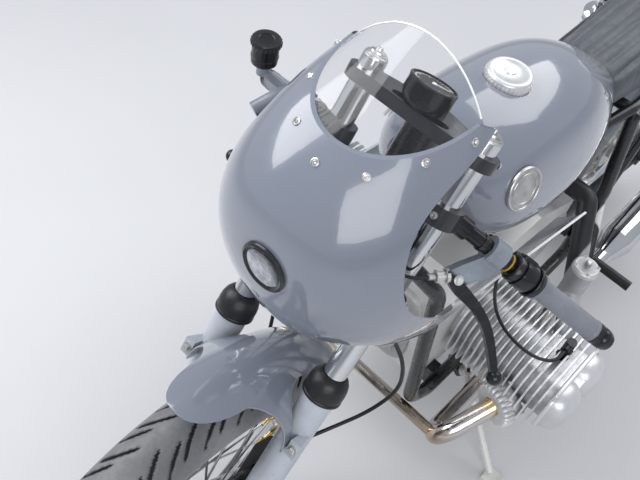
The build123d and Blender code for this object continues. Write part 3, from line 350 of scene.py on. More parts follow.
PAINT = finish("grey_paint", (0.205, 0.226, 0.275), (0.187, 0.206, 0.252), (0.13, 0.2), coat=1.0, coat_rough=0.03,
               patch=5.0, grain=260.0, depth=0.00004, wear=(0.27, 0.28, 0.31))
SHELL = shell_paint("grey_paint_with_lining_and_rim_highlight", (1000, 0, 880))
CREAM = finish("white_frame_paint", (0.74, 0.74, 0.71), (0.66, 0.66, 0.63), (0.2, 0.34), coat=0.5, patch=14.0,
               depth=0.00003, wear=(0.55, 0.54, 0.5))
SILVER = finish("silver_paint", (0.50, 0.53, 0.58), (0.44, 0.47, 0.52), (0.26, 0.36), metal=0.15, coat=0.3, patch=16.0,
                grain=420.0, depth=0.00001)
CAST = finish("cast_aluminium", (0.46, 0.46, 0.46), (0.34, 0.34, 0.345), (0.38, 0.56), metal=0.6, patch=26.0,
              grain=1100.0, depth=0.0002, wear=(0.78, 0.78, 0.76))
FINS = finish("fin_aluminium", (0.74, 0.75, 0.76), (0.50, 0.51, 0.53), (0.3, 0.5), metal=0.5, patch=34.0,
              grain=1000.0, depth=0.00015, wear=(0.86, 0.86, 0.86))
BLASTED = finish("blasted_covers", (0.66, 0.67, 0.68), (0.58, 0.59, 0.60), (0.28, 0.4), metal=0.45, patch=20.0,
                 grain=900.0, depth=0.0001, wear=(0.78, 0.78, 0.78))
CHROME = finish("chrome", (0.72, 0.73, 0.74), (0.60, 0.61, 0.63), (0.05, 0.14), metal=1.0, patch=8.0, depth=0.00002)
STEEL = finish("zinc_steel", (0.58, 0.58, 0.56), (0.42, 0.42, 0.41), (0.25, 0.42), metal=0.95, patch=60.0,
               wear=(0.7, 0.7, 0.68))
BRASS = finish("brass", (0.64, 0.47, 0.20), (0.5, 0.35, 0.14), (0.2, 0.34), metal=1.0, patch=80.0)
DISC = finish("disc_steel", (0.42, 0.42, 0.42), (0.3, 0.3, 0.3), (0.2, 0.34), metal=1.0, patch=30.0, grain=900.0,
              stretch=(1, 0.1, 1))
BLACK = finish("black_anodised", (0.010, 0.011, 0.013), (0.005, 0.005, 0.006), (0.13, 0.22), patch=20.0,
               depth=0.00003, wear=(0.03, 0.032, 0.036), specular=0.4)
CRINKLE = finish("black_casting", (0.016, 0.017, 0.018), (0.008, 0.008, 0.009), (0.38, 0.55), patch=22.0, grain=1400.0,
                 depth=0.0003, wear=(0.04, 0.04, 0.04), specular=0.35)
RUBBER = finish("black_rubber", (0.014, 0.015, 0.016), (0.008, 0.008, 0.009), (0.3, 0.45), patch=18.0, grain=700.0,
                depth=0.0001, specular=0.4)
FRONT_TYRE = tyre_rubber("front_tyre_rubber", FRONT_AXLE, 325.0, 50.0)
REAR_TYRE = tyre_rubber("rear_tyre_rubber", REAR_AXLE, 318.0, 58.0)
FRAME = frame_paint("frame_paint")
LEVERS = lever_finish("lever_finish")
CARBURETTORS = carburettor_finish("carburettor_finish")
GRIP = finish("grey_grip_rubber", (0.20, 0.215, 0.245), (0.155, 0.168, 0.195), (0.46, 0.62), patch=30.0, grain=1300.0,
              depth=0.00025, sheen=0.1)
HEATED = heated_chrome("heated_chrome", (860, 250, 330))
SCREEN = clear("clear_screen", (0.985, 0.99, 1.0), 0.02, 1.02, 0.45)
GLASS = clear("lamp_glass", (0.97, 0.98, 1.0), 0.03, 1.2, 0.6)
REFLECTOR = finish("lamp_reflector", (0.62, 0.64, 0.67), (0.30, 0.31, 0.34), (0.05, 0.16), metal=1.0, patch=90.0,
                   grain=420.0, depth=0.0006)
RED = finish("red_lens", (0.45, 0.012, 0.01), (0.3, 0.006, 0.006), (0.08, 0.16), coat=1.0, patch=60.0, grain=500.0,
             depth=0.0006)
# pale tone for the gauge's printed marks, and a painted highlight along the screen's edge
PALE = finish("pale_marks_and_screen_edge_highlight", (0.75, 0.75, 0.72), (0.68, 0.68, 0.66), (0.4, 0.5), patch=40.0)
YELLOW = finish("yellow_wire", (0.62, 0.42, 0.03), (0.52, 0.33, 0.02), (0.35, 0.45), patch=60.0)
LEATHER = leather("seat_leather")

CAD_MATERIALS = (
    (PAINT, "fuel_tank tail_cowl rear_fender front_fender"),
    (SHELL, "fairing"),
    (FRAME, "frame"),
    (CREAM, "side_stand"),
    (SILVER, "fork_legs"),
    (CAST, "engine_block"),
    (FINS, "cylinders cylinder_heads"),
    (BLASTED, "rocker_covers exhaust_nuts"),
    (CARBURETTORS, "carburettors"),
    (HEATED, "exhaust_headers"),
    (CHROME, "silencers fuel_cap shocks fork_tubes front_rim rear_rim"),
    (RED, "tail_lamp"),
    (STEEL, "tank_badges front_axle front_hub rear_hub"),
    (DISC, "front_brake_discs"),
    (BLACK, "lower_yoke upper_yoke clip_on_bars switch_blocks brake_reservoir bar_ends gauge headlamp"),
    (CRINKLE, "swing_arm air_box ignition_coil brake_calipers"),
    (LEVERS, "control_levers"),
    (RUBBER, "footrests plug_caps fork_boots brake_hoses clutch_cable plug_leads"),
    (GRIP, "grips"),
    (FRONT_TYRE, "front_tyre"),
    (REAR_TYRE, "rear_tyre"),
    (SCREEN, "windscreen"),
    (LEATHER, "seat"),
)
for material, labels in CAD_MATERIALS:
    for label in labels.split():
        nodes[label].data.materials.clear()
        nodes[label].data.materials.append(material)


# Mesh building, in mm on the upright bike

def turns(count, shift=0.0):
    """Angles that share a full turn evenly."""
    return [2 * pi * (k + shift) / count for k in range(count)]


def circle(centre, first, second, radius, sides):
    return [centre + (first * cos(a) + second * sin(a)) * radius for a in turns(sides)]


class Shape:
    """Vertices and faces of one piece, gathered before it becomes an object."""

    def __init__(self):
        self.points = []
        self.faces = []

    def grid(self, rows, closed_rows=False, closed_ring=True):
        """Surface through rows of points, each row as long as the others."""
        base = len(self.points)
        count = len(rows[0])
        for row in rows:
            self.points += row
        last = len(rows) if closed_rows else len(rows) - 1
        across = count if closed_ring else count - 1
        for i in range(last):
            here = base + i * count
            there = base + (i + 1) % len(rows) * count
            for j in range(across):
                k = (j + 1) % count
                self.faces.append((here + j, here + k, there + k, there + j))

    def cap(self, ring):
        base = len(self.points)
        self.points += ring
        self.faces.append(tuple(range(base, base + len(ring))))

    def block(self, rings, foot=True):
        """Rings closed at the top, and at the foot unless that stands in another form."""
        self.grid(rings)
        if foot:
            self.cap(rings[0][::-1])
        self.cap(rings[-1])

    def raised(self, origin, first, second, outward, sizes, roundness, sides=48, foot=False):
        self.block(squarish(origin, first, second, outward, sizes, roundness, sides), foot)

    def lathe(self, origin, axis, profile, sides=32):
        """Turned form: pairs of radius and height along an axis, closed at both ends."""
        origin, axis = Vector(origin), Vector(axis).normalized()
        across = axis.orthogonal().normalized()
        other = axis.cross(across)
        rows = [circle(origin + axis * height, across, other, max(radius, 0.01), sides) for radius, height in profile]
        if profile[0] == profile[-1]:
            self.grid(rows)
        else:
            self.block(rows)

    def tube(self, path, radius, sides=10):
        """Round bar through points, its rings carried along without twist."""
        path = [Vector(point) for point in path]
        across = (path[1] - path[0]).normalized().orthogonal().normalized()
        rows = []
        for i, point in enumerate(path):
            ahead = (path[min(i + 1, len(path) - 1)] - path[max(i - 1, 0)]).normalized()
            across = (across - ahead * across.dot(ahead)).normalized()
            size = radius[i] if isinstance(radius, list) else radius
            rows.append(circle(point, across, ahead.cross(across), size, sides))
        self.block(rows)

    def ribs(self, origin, axis, radius, low, high, count, thickness, sides=6):
        """Small bars along a turned form, evenly round it."""
        across = axis.orthogonal().normalized()
        for out in circle(Vector(), across, axis.cross(across), radius, count):
            self.tube([origin + axis * low + out, origin + axis * high + out], thickness, sides)

    def hex_bolt(self, at, axis, size, height):
        self.lathe(at, axis, [(size * 1.25, 0), (size * 1.25, height * 0.2), (size * 1.02, height * 0.2)], 20)
        self.lathe(at, axis, [(size, height * 0.2), (size, height * 0.85), (size * 0.86, height), (0, height)], 6)

    def socket_bolt(self, at, axis, size, height):
        self.lathe(at, axis, [
            (size, 0), (size, height * 0.7), (size * 0.85, height), (size * 0.5, height), (size * 0.46, height * 0.4),
            (0, height * 0.4),
        ], 18)

    def dome_bolt(self, at, axis, size, height):
        """Cup washer with a crosshead screw set in it."""
        self.lathe(at, axis, [(size * 1.45, -0.6), (size * 1.45, height * 0.35), (size * 1.1, height * 0.5),
                              (size, height * 0.3), (0, height * 0.3)], 24)
        self.lathe(at, axis, [(size * 0.8, height * 0.3), (size * 0.72, height * 0.75), (size * 0.35, height),
                              (size * 0.22, height * 0.9), (size * 0.18, height * 0.55), (0, height * 0.55)], 16)

    def make(self, name, body, material, smooth=38, bevel=0.0):
        mesh = bpy.data.meshes.new(name)
        mesh.from_pydata([parked(point) for point in self.points], [], self.faces)
        work = bmesh.new()
        work.from_mesh(mesh)
        bmesh.ops.remove_doubles(work, verts=work.verts, dist=0.00002)
        bmesh.ops.recalc_face_normals(work, faces=work.faces)
        work.to_mesh(mesh)
        work.free()
        mesh.polygons.foreach_set("use_smooth", [True] * len(mesh.polygons))
        mesh.set_sharp_from_angle(angle=radians(smooth))
        mesh.materials.append(material)
        piece = bpy.data.objects.new(name, mesh)
        scene.collection.objects.link(piece)
        if bevel:
            rounding = piece.modifiers.new("bevel", "BEVEL")
            rounding.width = bevel / 1000
            rounding.segments = 2
            rounding.limit_method = "ANGLE"
        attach(piece, body)
        return piece


def squarish(origin, first, second, outward, sizes, roundness, sides=48):
    """Rings of a rounded-off rectangle: pairs of half sizes with a height along the outward direction."""
    rings = []
    for half_first, half_second, height in sizes:
        ring = []
        for angle in turns(sides):
            c, s = cos(angle), sin(angle)
            ring.append(origin + first * (half_first * copysign(abs(c) ** (2 / roundness), c))
                        + second * (half_second * copysign(abs(s) ** (2 / roundness), s)) + outward * height)
        rings.append(ring)
    return rings


trees = {}


def seat_on(label, point, outward):
    """Outer place on a CAD node near a point, and its outward normal, in mm on the upright bike."""
    if label not in trees:
        mesh = nodes[label].data
        trees[label] = BVHTree.FromPolygons([v.co for v in mesh.vertices], [tuple(p.vertices) for p in mesh.polygons])
    outward = Vector(outward).normalized()
    inward = -(PARK.to_3x3() @ outward).normalized()
    place, normal = trees[label].ray_cast(parked(Vector(point) + outward * 30), inward, 0.06)[:2]
    if place is None:
        place, normal = trees[label].find_nearest(parked(point))[:2]
    normal = (UNPARK.to_3x3() @ normal).normalized()
    return UNPARK @ place, normal if normal.dot(outward) > 0 else -normal


# Tyres with sweeping grooves, one set on each side of the crown

GROOVE_DEPTH = 4.6
GROOVE_EDGE = 1.2
ROLLING_RADIUS = 320.0


def around_wheel(axle, radius, angle, y=0.0):
    return axle + Vector((radius * cos(angle), y, radius * sin(angle)))


def groove_depth(angle, across, half_width, count):
    """Depth of the tread at a place: long grooves from the crown to the shoulder and short ones between."""
    distance = abs(across)
    deepest = 0.0
    pitch = 2 * pi / count
    stagger = 0.25 * pitch if across >= 0 else 0
    # where a groove starts and ends beside the crown, its shift in pitches and its lean
    for start, end, shift, lean in ((7.0, half_width * 0.98, 0.0, 1.0), (17.0, half_width * 1.12, 0.5, 0.9)):
        if distance < start or distance > end:
            continue
        travel = (distance - start) / (end - start)
        line = (0.46 * lean * (1 - travel) ** 1.5 - 0.05 * travel) / 3.0
        offset = (angle - line - shift * pitch - stagger) % pitch
        gap = min(offset, pitch - offset) * ROLLING_RADIUS
        taper = min(1.0, (distance - start) / 6.0, (end - distance) / 5.0)
        reach = 1.9 + 2.1 * sin(pi * min(1.0, travel * 0.8 + 0.15)) + GROOVE_EDGE
        if gap < reach:
            deepest = max(deepest, taper * GROOVE_DEPTH * min(1.0, (reach - gap) / 1.6))
    return deepest


def tyre(name, axle, radius, width, bead_radius, bead_half, count, body, material):
    """Tyre over its node: rows of place across, radius and way along the crown, which is none on the walls."""
    crown = width / 2
    steps = 58
    bends = [pi * (k / steps - 0.5) * 0.94 for k in range(steps + 1)]
    tread = [(crown * sin(bend), radius - crown + crown * cos(bend), crown * bend) for bend in bends]
    wall = [
        (crown - 0.3, radius - crown - 6), (crown - 2.5, radius - crown - 12), (crown - 4.5, radius - crown - 13),
        (bead_half + 9, bead_radius + 13), (bead_half + 6.5, bead_radius + 12), (bead_half + 4, bead_radius + 4),
        (bead_half + 2, bead_radius + 1.2), (bead_half - 1, bead_radius + 0.6),
    ]
    right_wall = [(y, r, None) for y, r in wall if r < tread[-1][1]]
    ring = [(-y, r, None) for y, r, way in reversed(right_wall)] + tread + right_wall
    shape = Shape()
    rows = []
    for angle in turns(720):
        row = []
        for y, r, way in ring:
            depth = 0.0 if way is None else groove_depth(angle, way, crown, count)
            row.append(around_wheel(axle, r - depth, angle, y))
        rows.append(row)
    shape.grid(rows, closed_rows=True)
    piece = shape.make(name, body, material, smooth=50)
    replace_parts(piece, name.replace("_tread", ""))


tyre("front_tyre_tread", FRONT_AXLE, 325.0, 100.0, 254.0, 28.0, 30, "front_wheel", FRONT_TYRE)
tyre("rear_tyre_tread", REAR_AXLE, 318.0, 116.0, 241.6, 32.0, 28, "rear_wheel", REAR_TYRE)


# Wheels: nipples in the rims, valve stems, disc buttons

SPOKES_A_SIDE = 18


def wheel_trim(prefix, axle, rim_radius, body):
    nipples = Shape()
    well = rim_radius - 19
    for side in SIDES:
        for angle in turns(SPOKES_A_SIDE, 0.25 * side):
            nipples.lathe(around_wheel(axle, well - 16, angle, side * 5.6), around_wheel(Vector(), 1, angle),
                          [(2.4, 0), (3.4, 1.5), (3.4, 11), (5.2, 13.5), (5.2, 15.6)], 10)
    nipples.make(prefix + "_nipples", body, BRASS)
    valve = Shape()
    valve.lathe(around_wheel(axle, well - 34, 0.9), around_wheel(Vector(), 1, 0.9),
                [(3.2, 0), (3.6, 2), (3.6, 9), (2.4, 10), (2.4, 24), (5, 27), (5, 33.5)], 14)
    valve.make(prefix + "_valve", body, BLACK)


wheel_trim("front", FRONT_AXLE, 241.0, "front_wheel")
wheel_trim("rear", REAR_AXLE, 228.6, "rear_wheel")

buttons = Shape()
for side in SIDES:
    for angle in turns(10):
        buttons.lathe(around_wheel(FRONT_AXLE, 112, angle + 0.2, side * 61), LEFT * side,
                      [(7, -0.4), (7, 1.6), (4.4, 2.6), (4.0, 1.2), (0, 1.2)], 18)
    for angle in turns(5):
        buttons.socket_bolt(around_wheel(FRONT_AXLE, 31, angle + 0.63, side * 61), LEFT * side, 5, 5)
buttons.make("disc_buttons", "front_wheel", STEEL)

# Fork: caps, pinch bolts, caliper and fender bolts, axle pinch bolts, drain screws
fork_trim = Shape()
for side in SIDES:
    y = side * HALF_SPACING
    fork_trim.lathe(fork_point(801, 0, y), UP_FORK, [
        (17.4, 0), (17.4, 3), (15.5, 5), (15.5, 6), (12, 6.4), (11.5, 9), (5, 9.6), (4.4, 14), (0, 14.4),
    ], 28)
    for height in (542, 774):
        fork_trim.socket_bolt(fork_point(height, -22, y + side * 20), LEFT * side * 0.2 - AHEAD_FORK, 5, 6)
    fork_trim.socket_bolt(fork_point(690, 26, y + side * 2), AHEAD_FORK, 5, 5)
    for height in (90, 139):
        fork_trim.socket_bolt(fork_point(height, -60, side * 92.7), LEFT * side, 6.5, 6)
    for height in (84, 108, 132, 152):
        fork_trim.hex_bolt(fork_point(height, -87, side * 62), -AHEAD_FORK, 5, 6)
    fork_trim.hex_bolt(fork_point(277, 41, y + side * 21), AHEAD_FORK, 6.5, 7)
    fork_trim.socket_bolt(fork_point(-26, 8, y), -UP_FORK, 7, 4)
fork_trim.make("fork_bolts", "steering", STEEL)

# Short rubber domes over the tops of the sliders
boots = Shape()
slider_tops = Shape()
for side in SIDES:
    foot = fork_point(0, 0, side * HALF_SPACING)
    boots.lathe(foot, UP_FORK, [
        (25.6, 355), (30.4, 355.4), (31.6, 356.6), (31.8, 360), (30.6, 361.4), (31.2, 363.5), (31.4, 372), (30.6, 380),
        (28.4, 388), (24.6, 394), (20.6, 397.6), (18.8, 398.6), (18.3, 397),
    ], 56)
    slider_tops.lathe(foot, UP_FORK, [(25.1, 334), (25.5, 334.4), (25.5, 360), (24.6, 361), (18.4, 361)], 56)
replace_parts(boots.make("boot_domes", "steering", RUBBER, smooth=50), "fork_boots")
slider_tops.make("slider_tops", "steering", SILVER)

# Front fender: a crowned shell with an egg-shaped tip, its sides flowing down into an arm to each lug
FENDER_EDGE = 350.0
FENDER_HALF = 50.0
FENDER_RISE = 25.0
TIP_X = 1473.0
TIP_LENGTH = 106.0
TIP_ROUNDNESS = 2.4
FENDER_END = radians(65)
ARM_START, ARM_END = radians(12.5), radians(33)


def fender_point(angle, across):
    """Place on the shell, its angle behind the top of the wheel and its part of the width there."""
    x = FRONT_AXLE.x - FENDER_EDGE * sin(angle)
    beyond = max(0.0, (x - TIP_X + TIP_LENGTH) / TIP_LENGTH)
    half = FENDER_HALF * max(0.0, 1 - beyond ** TIP_ROUNDNESS) ** (1 / TIP_ROUNDNESS)
    y = across * half
    radius = FENDER_EDGE + FENDER_RISE * (1 - (y / FENDER_HALF) ** 2)
    return FRONT_AXLE + Vector((-radius * sin(angle), y, radius * cos(angle)))


moulded = Shape()
first_angle = -asin((TIP_X - 0.3 - FRONT_AXLE.x) / FENDER_EDGE)
angles = [first_angle + (FENDER_END - first_angle) * (k / 72) ** 1.25 for k in range(73)]
parts = [sin(pi / 2 * (j / 14 - 1)) for j in range(29)]
moulded.grid([[fender_point(angle, part) for part in parts] for angle in angles], closed_ring=False)
arm_angles = [angle for angle in angles if ARM_START < angle < ARM_END]
for side in SIDES:
    rows = []
    for angle in arm_angles:
        place = (angle - arm_angles[0]) / (arm_angles[-1] - arm_angles[0])
        top = fender_point(angle, side)
        middle = fender_point(arm_angles[len(arm_angles) // 2], side)
        slope = (top - fender_point(angle, side * 0.93)).normalized()
        foot = fork_point(264, 47 - 17 * place, side * 103.2)
        second = top + slope * 24 + (middle - top) * 0.78
        third = foot + UP_FORK * 46 - LEFT * side * 4
        row = []
        for step in range(15):
            t = step / 14
            start = top * (1 - t) ** 3 + second * (3 * t * (1 - t) ** 2)
            row.append(start + third * (3 * t * t * (1 - t)) + foot * t ** 3)
        rows.append(row)
    moulded.grid(rows, closed_ring=False)
shell = moulded.make("moulded_fender", "steering", PAINT, smooth=70)
thicken = shell.modifiers.new("solidify", "SOLIDIFY")
thicken.thickness = 0.003
thicken.offset = 0
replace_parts(shell, "front_fender")

# Bars: ridged grips, bar ends, rings, and switch pods with their buttons, seams and clamps
grips = Shape()
bar_ends = Shape()
collars = Shape()
yellow_ring = Shape()
switches = Shape()
pods = Shape()
for side in SIDES:
    root = bar_point(side, 0)
    along = bar_direction(side)
    lever = lever_direction(side)
    ridged = [(11.2, 154.4), (15.6, 154.4), (19.4, 155), (19.9, 157), (19.4, 159), (15.7, 160)]
    ridged += [(15.5 + 0.15 * sin(k * 1.7), 162 + 2.0 * k) for k in range(52)]
    ridged += [(15.5, 267), (16.6, 268.5), (16.6, 271), (15.4, 272), (11.2, 272)]
    grips.lathe(root, along, ridged, 40)
    bar_ends.lathe(root, along, [
        (11.2, 272.4), (16, 272.4), (16.4, 274), (16.4, 280), (15.0, 281), (15.0, 285), (16.0, 286.5), (16.0, 294),
        (15.0, 295.5), (15.0, 298), (13, 302.5), (7, 303.6), (6.4, 300), (0, 300),
    ], 36)
    collars.lathe(root, along, [(11.1, 47), (12.6, 47.4), (12.8, 50), (12.6, 52.6), (11.1, 53)], 32)
    yellow_ring.lathe(root, along, [(11.1, 98), (12.8, 98.2), (13.4, 99.2), (12.8, 100.2), (11.1, 100.4)], 32)
    pods.lathe(root, along, [
        (11.3, 106), (17.6, 106), (19.4, 107.6), (19.4, 115), (17.8, 116), (17.8, 118), (20.4, 119), (20.8, 122),
        (20.8, 139), (19.2, 142.6), (16.6, 144), (11.3, 144),
    ], 44)
    normal = along.cross(lever) * side
    for distance, outward, sizes in (
        (127, normal, [(15, 14, 10), (15, 14, 22), (13.6, 12.6, 25), (9, 8, 26)]),
        (112, normal * 0.7 - lever * 0.71, [(6, 8, 8), (6, 8, 23), (5, 7, 25), (2, 3, 25.6)]),
        (124, -lever, [(12, 9, 10), (12, 9, 22), (10.6, 7.6, 24), (6, 4, 24.4)]),
    ):
        at = bar_point(side, distance)
        pods.raised(at, along, outward.cross(along), outward, sizes, 5, 36)
    for distance, out, up, size, height in ((121, 4, 25, 4.2, 5), (133, -5, 25, 4.8, 4), (131, 8, 24.6, 3, 3.5)):
        at = bar_point(side, distance) + lever * out + normal * up
        switches.lathe(at, normal, [(size, 0), (size, height * 0.7), (size * 0.8, height), (size * 0.3, height + 0.4),
                                    (0, height + 0.4)], 20)
    switches.lathe(root, along, [
        (21.4, 144.2), (22.4, 145.4), (22.4, 148.6), (21.4, 150), (16.8, 150), (16.8, 144.2), (21.4, 144.2),
    ], 36)
    for distance in (112, 138):
        switches.socket_bolt(bar_point(side, distance) - lever * 20.2, -lever, 4, 3)
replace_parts(grips.make("rubber_grips", "steering", GRIP, smooth=60), "grips")
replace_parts(bar_ends.make("bar_weights", "steering", BLACK), "bar_ends")
collars.make("bar_rings", "steering", BLACK)
yellow_ring.make("wire_rings", "steering", YELLOW)
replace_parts(pods.make("switch_pods", "steering", BLACK, smooth=50), "switch_blocks")
switches.make("switch_buttons", "steering", BLACK, bevel=0.5)

# Ball at each lever's end
BALL_RADIUS = 11.4
balls = Shape()
for side in SIDES:
    outward = (lever_direction(side) * 0.72 + bar_direction(side) * 0.69).normalized()
    bends = [pi * k / 16 for k in range(17)]
    ball = [(BALL_RADIUS * sin(bend), -BALL_RADIUS * cos(bend)) for bend in bends]
    balls.lathe(lever_point(side, 191, 134), outward, ball, 28)
balls.make("lever_balls", "steering", BLACK, smooth=60)

# Lever pivots and the cable's ribbed adjuster
lever_trim = Shape()
for side in SIDES:
    normal = bar_direction(side).cross(lever_direction(side))
    for face in (1, -1):
        lever_trim.hex_bolt(lever_point(side, 52, 58, 9 * face), normal * face, 5.5, 5)
    lever_trim.socket_bolt(lever_point(side, 75, 12, side * 12), normal * side, 3.5, 6)
GLAND_ANGLE = radians(40)
adjuster_at = lever_point(1, 44, 57)
adjuster_axis = lever_direction(1) * sin(GLAND_ANGLE) - bar_direction(1) * cos(GLAND_ANGLE)
lever_trim.lathe(adjuster_at, adjuster_axis, [(6.1, 5), (10.5, 5.4), (10.5, 10), (7.4, 10.6), (7.4, 13), (8.6, 13.5),
                                              (8.6, 23), (6.4, 24.6), (4.6, 25), (4.6, 33), (2.6, 34)], 20)
lever_trim.ribs(adjuster_at, adjuster_axis, 8.5, 14, 22.6, 16, 0.8, 5)
lever_trim.make("lever_fittings", "steering", STEEL)

# Brake reservoir with a ribbed cap
RESERVOIR = Vector((1088, -262, 902))
reservoir = Shape()
reservoir.lathe(RESERVOIR, UP, [
    (8, 0), (8, 4), (17, 6), (19.6, 8), (20, 12), (20, 17), (20.7, 17.6), (20.7, 20), (20, 20.6), (20, 38), (22, 38.6),
    (22.4, 40), (22.4, 46), (21, 48), (12, 48.4), (11, 47.6), (0, 47.6),
], 60)
reservoir.ribs(RESERVOIR, UP, 22.4, 40, 45.6, 24, 1.0)
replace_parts(reservoir.make("capped_reservoir", "steering", BLACK), "brake_reservoir")

# Gauge: cup, bezel, dial with ticks and needle
top = fork_point(783.3, 12, 0)
cup = Shape()
cup.lathe(top, UP_FORK, [(12, 0), (22, 1), (30, 8), (33.4, 16), (33.4, 33), (34, 34), (34, 37.2), (32.6, 38),
                         (30.6, 37.6), (30.4, 35), (0, 35)], 48)
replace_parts(cup.make("gauge_cup", "steering", BLACK), "gauge")
dial = Shape()
dial.lathe(top, UP_FORK, [(30.2, 35.1), (30.2, 35.7), (0, 35.7)], 40)
dial.make("gauge_dial", "steering", CRINKLE)
ticks = Shape()
for index in range(31):
    angle = radians(-225 + 270 * index / 30)
    out = LEFT * sin(angle) - AHEAD_FORK * cos(angle)
    length = 6 if index % 5 == 0 else 3
    ticks.tube([top + UP_FORK * 35.9 + out * (28 - length), top + UP_FORK * 35.9 + out * 28], 0.45, 5)
ticks.tube([top + UP_FORK * 36.4, top + UP_FORK * 36.4 - AHEAD_FORK * 12 + Vector((0, 18, 0))], [1.1, 0.4], 6)
ticks.lathe(top, UP_FORK, [(3.4, 35.8), (3.4, 37), (2.6, 37.6), (0, 37.6)], 18)
ticks.make("gauge_marks", "steering", PALE)

# Headlamp: housing, reflector with two lamps, and a lens in a black bezel
NOSE = Vector((1338, 0, 899))
housing = Shape()
housing.lathe(NOSE, AHEAD, [
    (20, -32), (29, -30), (31, -24), (31, 0.4), (34.5, 0.8), (35.2, 2.2), (34.4, 4.6), (31.5, 6.0), (27.6, 4.6),
    (26.6, 3.4), (26.6, -2),
], 56)
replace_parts(housing.make("headlamp_housing", "chassis", BLACK), "headlamp")
bowl = Shape()
bowl.lathe(NOSE, AHEAD, [(26.8, 2.6), (24, -4), (19, -11), (12, -16), (5, -18), (0, -18.4)], 48)
for angle in (0.5, 2.6, 4.7):
    at = NOSE + Vector((-12, 9.5 * cos(angle), 9.5 * sin(angle)))
    bowl.lathe(at, AHEAD, [(8.6, -4), (8.6, 4), (7.6, 6), (6.4, 3), (0, 1)], 24)
bowl.make("headlamp_reflector", "chassis", REFLECTOR)
lens = Shape()
lens.lathe(NOSE, AHEAD, [(26.9, 2.2), (26.9, 4.4), (22, 6.2), (14, 7.4), (6, 7.9), (0, 8.0)], 48)
lens.make("headlamp_lens", "chassis", GLASS)

# Fairing as its node has it, but without the narrow hoop behind the screen, whose edge stands bare
HOOP_FOOT = (1094, 0, 1064)
HOOP_SIDE = Vector((-0.5, 0, 0.866))
shell_mesh = nodes["fairing"].data.copy()
work = bmesh.new()
work.from_mesh(shell_mesh)
cut = bmesh.ops.bisect_plane(
    work, geom=[*work.verts, *work.edges, *work.faces], dist=0.000001, clear_outer=True,
    plane_co=parked(HOOP_FOOT), plane_no=(PARK.to_3x3() @ HOOP_SIDE).normalized(),
)
bmesh.ops.edgeloop_fill(work, edges=[part for part in cut["geom_cut"] if isinstance(part, bmesh.types.BMEdge)])
work.to_mesh(shell_mesh)
work.free()
bare_shell = bpy.data.objects.new("fairing_shell", shell_mesh)
scene.collection.objects.link(bare_shell)
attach(bare_shell, "chassis")
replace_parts(bare_shell, "fairing")

# Rounded bare edge of the screen toward the rider: its node's vertices on that edge, averaged every 3 degrees, drawn as
# an opaque pale tube that is a painted highlight for the bright line along the edge
EDGE_FOOT = Vector((1116, 0, 1080))
EDGE_SLOPE = 14 / 320
EDGE_MIDDLE = 900
edge_points = {}
for vertex in nodes["windscreen"].data.vertices:
    here = UNPARK @ vertex.co
    above = here.z - EDGE_FOOT.z
    if above > -1 and abs(here.x - EDGE_FOOT.x - above * EDGE_SLOPE) < 0.4:
        angle = degrees(atan2(here.z - EDGE_MIDDLE, here.y))
        edge_points.setdefault(round(angle / 3), []).append(here)
rim_path = [sum(group, Vector()) / len(group) for step, group in sorted(edge_points.items())]
screen_rim = Shape()
screen_rim.tube(rim_path, 1.2, 12)
# painted highlight: the screen's edge drawn in the opaque pale tone
screen_rim.make("screen_edge_highlight", "chassis", PALE, smooth=60)

# Screen screws along its lower edge, the fairing's other screws
screws = Shape()
for x, y, z in ((1282, 0, 1042), (1258, 53, 1047.6), (1199, 84, 1055.6), (1138, 105, 1068)):
    for side in SIDES if y else (1,):
        place, normal = seat_on("fairing", (x, side * y, z), (0.6, side * 0.5, 1))
        screws.dome_bolt(place, normal, 3.6, 3.6)
for side in SIDES:
    place, normal = seat_on("fairing", (672, side * 172, 618), LEFT * side)
    screws.dome_bolt(place, normal, 4.2, 3.6)
screws.make("screen_screws", "chassis", STEEL)

# Tank: filler cap, bare badges with raised rims
CAP_AT = Vector((840, 0, 0))
cap = Shape()
profile = [(34, 928.3), (36, 929.5), (36, 944)]
profile += [(36 - 5 * (1 - cos(a)), 944 + 5 * sin(a)) for a in (0.4, 0.8, 1.2, 1.57)]
profile += [(26, 948.4), (25, 947.4), (9, 948.6), (8, 950.4), (0, 950.8)]
cap.lathe(CAP_AT, UP, profile, 72)
for angle in turns(36):
    out = Vector((cos(angle), sin(angle), 0))
    cap.tube([Vector((840, 0, 931)) + out * 36, Vector((840, 0, 943)) + out * 36], 1.3, 6)
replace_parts(cap.make("filler_cap", "chassis", BLASTED, smooth=50), "fuel_cap")
badge = Shape()
for side in SIDES:
    normal = Vector((0.17, side * 0.92, 0.35)).normalized()
    badge.lathe((916, side * 119, 847), normal, [
        (36, 0.4), (36, 4), (35.2, 5.4), (33.4, 5.8), (31.6, 5), (31, 3.6), (25.5, 3.2), (24.8, 4.1), (23.6, 4.1),
        (23, 3.2), (0, 4.0),
    ], 64)
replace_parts(badge.make("bare_badges", "chassis", STEEL, smooth=50), "tank_badges")

# Tail lamp with a rimmed lens
TAIL_LAMP = (-150.4, 0, 822)
lamp = Shape()
lamp.lathe(TAIL_LAMP, -AHEAD, [(24, 0), (24, 5), (21, 12), (16, 14.6), (0, 15.4)], 40)
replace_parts(lamp.make("tail_lens", "chassis", RED), "tail_lamp")
rim = Shape()
rim.lathe(TAIL_LAMP, -AHEAD, [(24.2, 0), (27, 0.4), (27, 4), (25.4, 6.2), (24.2, 5.4), (24.2, 0)], 40)
rim.make("tail_lamp_rim", "chassis", CHROME)


# Engine: nuts at the heads, tops and float bowls of the carburettors

CRANK_X, CRANK_Z = 790, 385
STAGGER = 24
AIR_BOX_PORT = (520, 140, 560)


def cylinder_point(side, x, y, z):
    """Place on a cylinder: along the bike and up from its axis, out from the middle of the bike."""
    return Vector((CRANK_X - (0 if side > 0 else STAGGER) + x, side * y, CRANK_Z + z))


